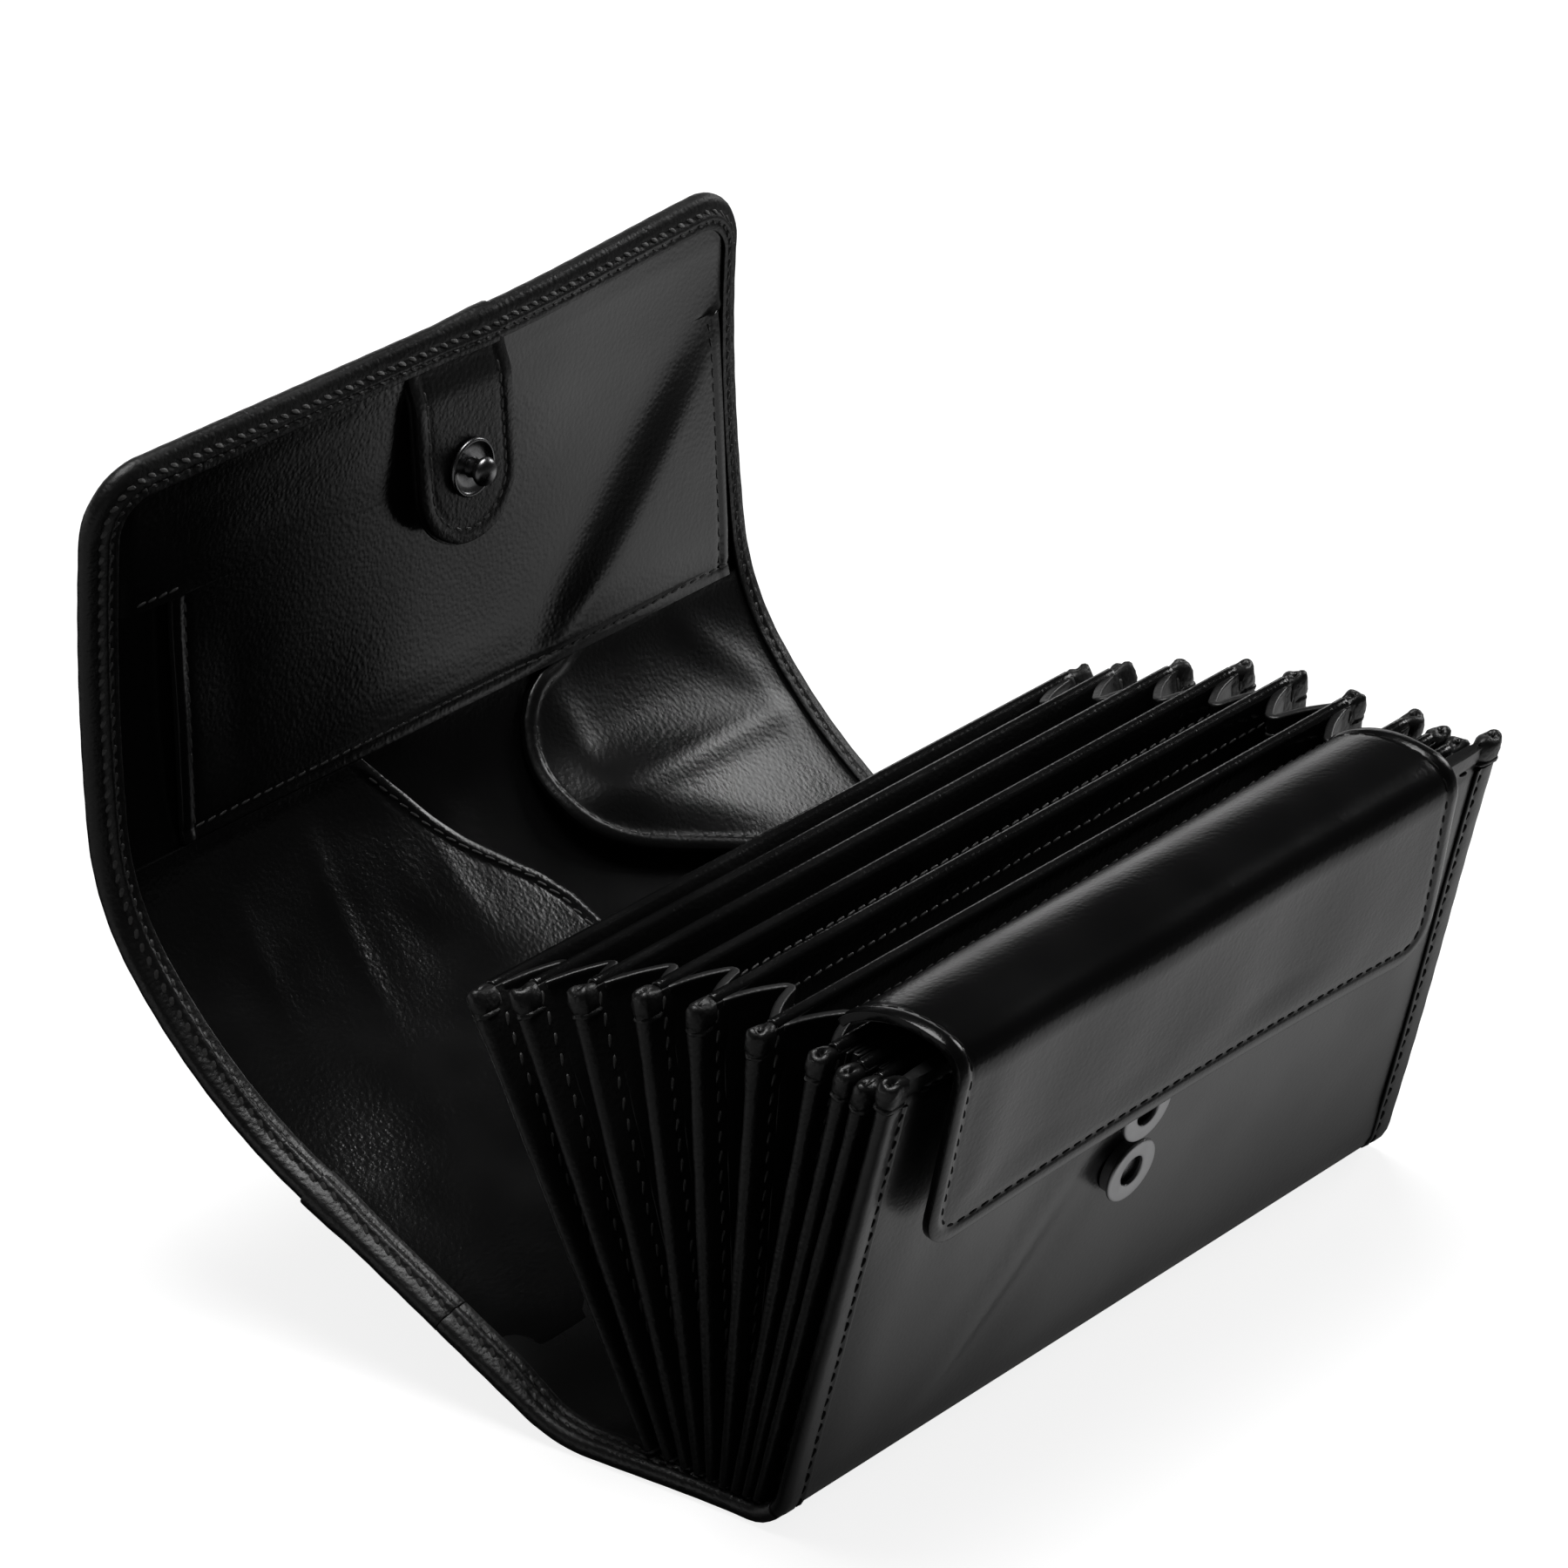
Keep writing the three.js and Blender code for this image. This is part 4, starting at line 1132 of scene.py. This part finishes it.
def make_tab():
    half, length = 13.4, 37.2
    for name, grow, low, wall in (("stud_tab_backing", 0.5, 0, 0.8),
                                  ("stud_tab_face", 0, 0.85, 0.85)):
        wide, end, radius = half + grow, length + grow, half + grow - 0.4
        rows = fine_ends(-1.4, end - radius, 1.6, first=False, last=False)[:-1]
        rows += corner_marks(end, radius, 14)
        layer = cut_sheet(name, rows, fine_ends(-wide, wide, 1.6), round_sides(wide, end, radius),
                          thickness=wall, rim=0.3)
        if low:
            swell(layer, turned_rim(rounded_inset(half, end, radius), 3.4, 0.25, 3.1, 0.25))
        reshape(layer, lambda x, s, h: on_tab(x, s, low + h))
        settle(layer, bound, "cover_flap", ["stud_tab"] if low else ())
    side, low = half - 3.1, length - half + 0.4
    path = [(-side, s) for s in marks(2.5, low, 2)]
    path += [(-side * cos(radians(a)), low + side * sin(radians(a))) for a in range(12, 180, 12)]
    path += [(side, s) for s in marks(low, 2.5, 2)]
    sew("stud_tab_stitches", [path], 1.58, on_tab, "cover_flap", "inner_leather",
        length=2.2, pitch=2.7, wide=0.4)


def seat_on(piece, origin, lean):
    """Sets a turned piece on a face that looks forwards and leans down by an angle."""
    out = Vector((0, -cos(radians(lean)), -sin(radians(lean))))
    rise = Vector((0, -sin(radians(lean)), cos(radians(lean))))
    return reshape(piece, lambda x, t, h: Vector(origin) + Vector((x, 0, 0)) + rise * t + out * h)


def make_stud():
    dish = [(0.4, 0.55), (1.7, 0.5), (2.4, 0.42), (3.8, 0.4), (4.7, 0.55), (5.05, 0.85),
            (5.3, 1.05), (5.6, 1.08), (5.85, 0.9), (5.95, 0.55), (5.85, 0.15), (5.5, 0.0),
            (0.4, 0.0)]
    ball = [(2.9 * cos(radians(a)), 3.6 + 1.75 * sin(radians(a))) for a in range(-48, 88, 8)]
    ball = [(2.1, 0.42), (1.9, 0.9), (1.9, 1.7), *ball, (0.12, 5.35)]
    parts = [turn_on_lathe("stud_dish", dish), turn_on_lathe("stud_ball", ball, 32)]
    stud = seat_on(join("stud_with_ball", parts), (1.5, 85.4, 131.28), 0)
    settle(stud, snap_metal, "cover_flap", ["stud"], sharp=60)


def make_sockets():
    cup = [(2.5, 0), (5.75, 0), (5.8, 0.2), (5.8, 1.9), (6.2, 1.98), (6.55, 2.15), (6.7, 2.45),
           (6.62, 2.75), (6.35, 2.95), (6.0, 3.0), (3.7, 2.96), (3.3, 2.88), (3.12, 2.7),
           (3.1, 2.4), (3.2, 2.12), (4.85, 2.08), (4.9, 1.9), (4.9, 0.75), (4.75, 0.7),
           (2.5, 0.7), (2.5, 0)]
    for name, origin in (("lower", (-7, -78.12, 43.62)), ("upper", (-7, -81.51, 57.21))):
        socket = seat_on(turn_on_lathe(f"ring_socket_{name}", cup), origin, front_lean)
        settle(socket, socket_metal, "front_section", [f"socket_{name}"], sharp=50)


make_tab()
make_stud()
make_sockets()

# The hidden parts of the snaps are the frame's own solids
for node in ("socket_post_lower", "socket_post_upper", "stud_post"):
    coat(bpy.data.objects[node], snap_metal)
for node in ("socket_spring_lower", "socket_spring_upper"):
    coat(bpy.data.objects[node], spring_metal)


# ---- camera, floor and light
def place_camera():
    """The camera that the photograph was taken with, as fitted to its corners and edges."""
    turn, rise, roll = radians(-50.60031), radians(26.32881), radians(0.44758)
    back = Vector((sin(turn) * cos(rise), -cos(turn) * cos(rise), sin(rise)))
    level = Vector((cos(turn), sin(turn), 0))
    upright = back.cross(level)
    right = cos(roll) * level + sin(roll) * upright
    up = -sin(roll) * level + cos(roll) * upright
    data = bpy.data.cameras.new("camera")
    data.lens, data.sensor_width, data.clip_end = 175.0288, 36, 30
    camera = add_object("camera", data)
    turned = Matrix((right, up, back)).transposed().to_4x4()
    camera.matrix_world = Matrix.Translation(Vector((-0.977836, -0.796232, 0.716347))) @ turned
    bpy.context.scene.camera = camera


def lamp(name, aim, turn, rise, distance, size, power):
    """A soft box that looks at a point from a turn round it and a rise above the floor."""
    data = bpy.data.lights.new(name, "AREA")
    data.shape, data.size, data.size_y, data.energy = "RECTANGLE", size, size, power
    box = add_object(name, data)
    turn, rise = radians(turn), radians(rise)
    way = Vector((cos(turn) * cos(rise), sin(turn) * cos(rise), sin(rise)))
    box.location = Vector(aim) + way * distance
    box.rotation_euler = way.to_track_quat("Z", "Y").to_euler()


def make_floor():
    deselect()
    bpy.ops.mesh.primitive_plane_add(size=8, location=(0, 0, -0.0004))
    floor = bpy.context.object
    floor.name = "floor"
    paper = Finish("white paper")
    paper.set(paper.shader.inputs["Base Color"], (0.32, 0.32, 0.32, 1))
    paper.set(paper.shader.inputs["Roughness"], 0.9)
    floor.data.materials.append(paper.finish(Specular_IOR_Level=0.0))
    # White to the camera, with the wallet's own soft shadow left in it. Glossy rays see no real
    # shadow but a painted pool of light before the wallet, and painted shade beside it and further
    # off.
    path = paper.add("ShaderNodeLightPath").outputs
    flat = paper.add("ShaderNodeSeparateXYZ", {"Vector": paper.place}).outputs
    painted_pool_centre = (0.16, -0.08, 0)
    reach = paper.add("ShaderNodeVectorMath", {0: paper.place, 1: painted_pool_centre}, operation="DISTANCE")
    # Painted light and shade for glossy rays: a pool of light round a point before the wallet's
    # right,
    painted_pool = paper.spread(reach.outputs["Value"], 0.16, 0.3, 1, 0.14)
    # painted shade close beside and behind the wallet, and a dim painted strip far to its left
    beside = paper.spread(flat["X"], 0.12, 0.22, 0.06, 1)
    before = paper.spread(flat["Y"], -0.06, -0.1)
    left = paper.spread(flat["X"], -0.13, -0.2, 0, 0.4)
    painted_light_and_shade = paper.combine(painted_pool, paper.combine(beside, before, "MAXIMUM"))
    painted_light_and_shade = paper.combine(painted_light_and_shade, left, "MAXIMUM")
    seen = paper.add("ShaderNodeEmission", {"Strength": paper.combine(path["Is Camera Ray"], 0.85)})
    # Glossy rays see only this painted light and shade, not the floor's lit surface
    painted_floor_gloss = paper.add("ShaderNodeEmission", {"Strength": paper.combine(painted_light_and_shade, 0.76)})
    both = paper.add("ShaderNodeAddShader", {0: paper.shader.outputs[0], 1: seen.outputs[0]})
    surface = paper.add("ShaderNodeMixShader", {0: path["Is Glossy Ray"], 1: both.outputs[0],
                                                2: painted_floor_gloss.outputs[0]})
    paper.set(paper.tree.nodes["Material Output"].inputs["Surface"], surface.outputs[0])


def make_world():
    """White to the camera. Gloss mirrors a pale backdrop low down and a dark room above it."""
    world = bpy.data.worlds.new("studio")
    bpy.context.scene.world = world
    world.use_nodes = True
    studio = Nodes(world.node_tree)
    path = studio.add("ShaderNodeLightPath").outputs
    around = studio.add("ShaderNodeTexCoord").outputs["Generated"]
    way = studio.add("ShaderNodeSeparateXYZ", {"Vector": around}).outputs
    behind = studio.spread(way["Y"], -0.2, 0.15, 0.04)
    low = studio.spread(way["Z"], 0.12, 0.34, behind, 0.02)
    level = studio.spread(path["Is Glossy Ray"], 0, 1, 0.14, low)
    room, white = (studio.add("ShaderNodeBackground", {"Strength": strength, "Color": (1, 1, 1, 1)})
                   for strength in (level, 1))
    blend = studio.add("ShaderNodeMixShader", {0: path["Is Camera Ray"], 1: room.outputs[0],
                                               2: white.outputs[0]})
    studio.set(studio.tree.nodes["World Output"].inputs["Surface"], blend.outputs[0])


place_camera()
make_floor()
make_world()
lamp("overhead box", aim=(0, 0, 0.05), turn=50, rise=82, distance=1.5, size=0.8, power=20)
lamp("right box", aim=(0.05, 0.03, 0.05), turn=-9, rise=23, distance=1.5, size=0.5, power=4)

scene = bpy.context.scene
scene.view_settings.view_transform = "Standard"
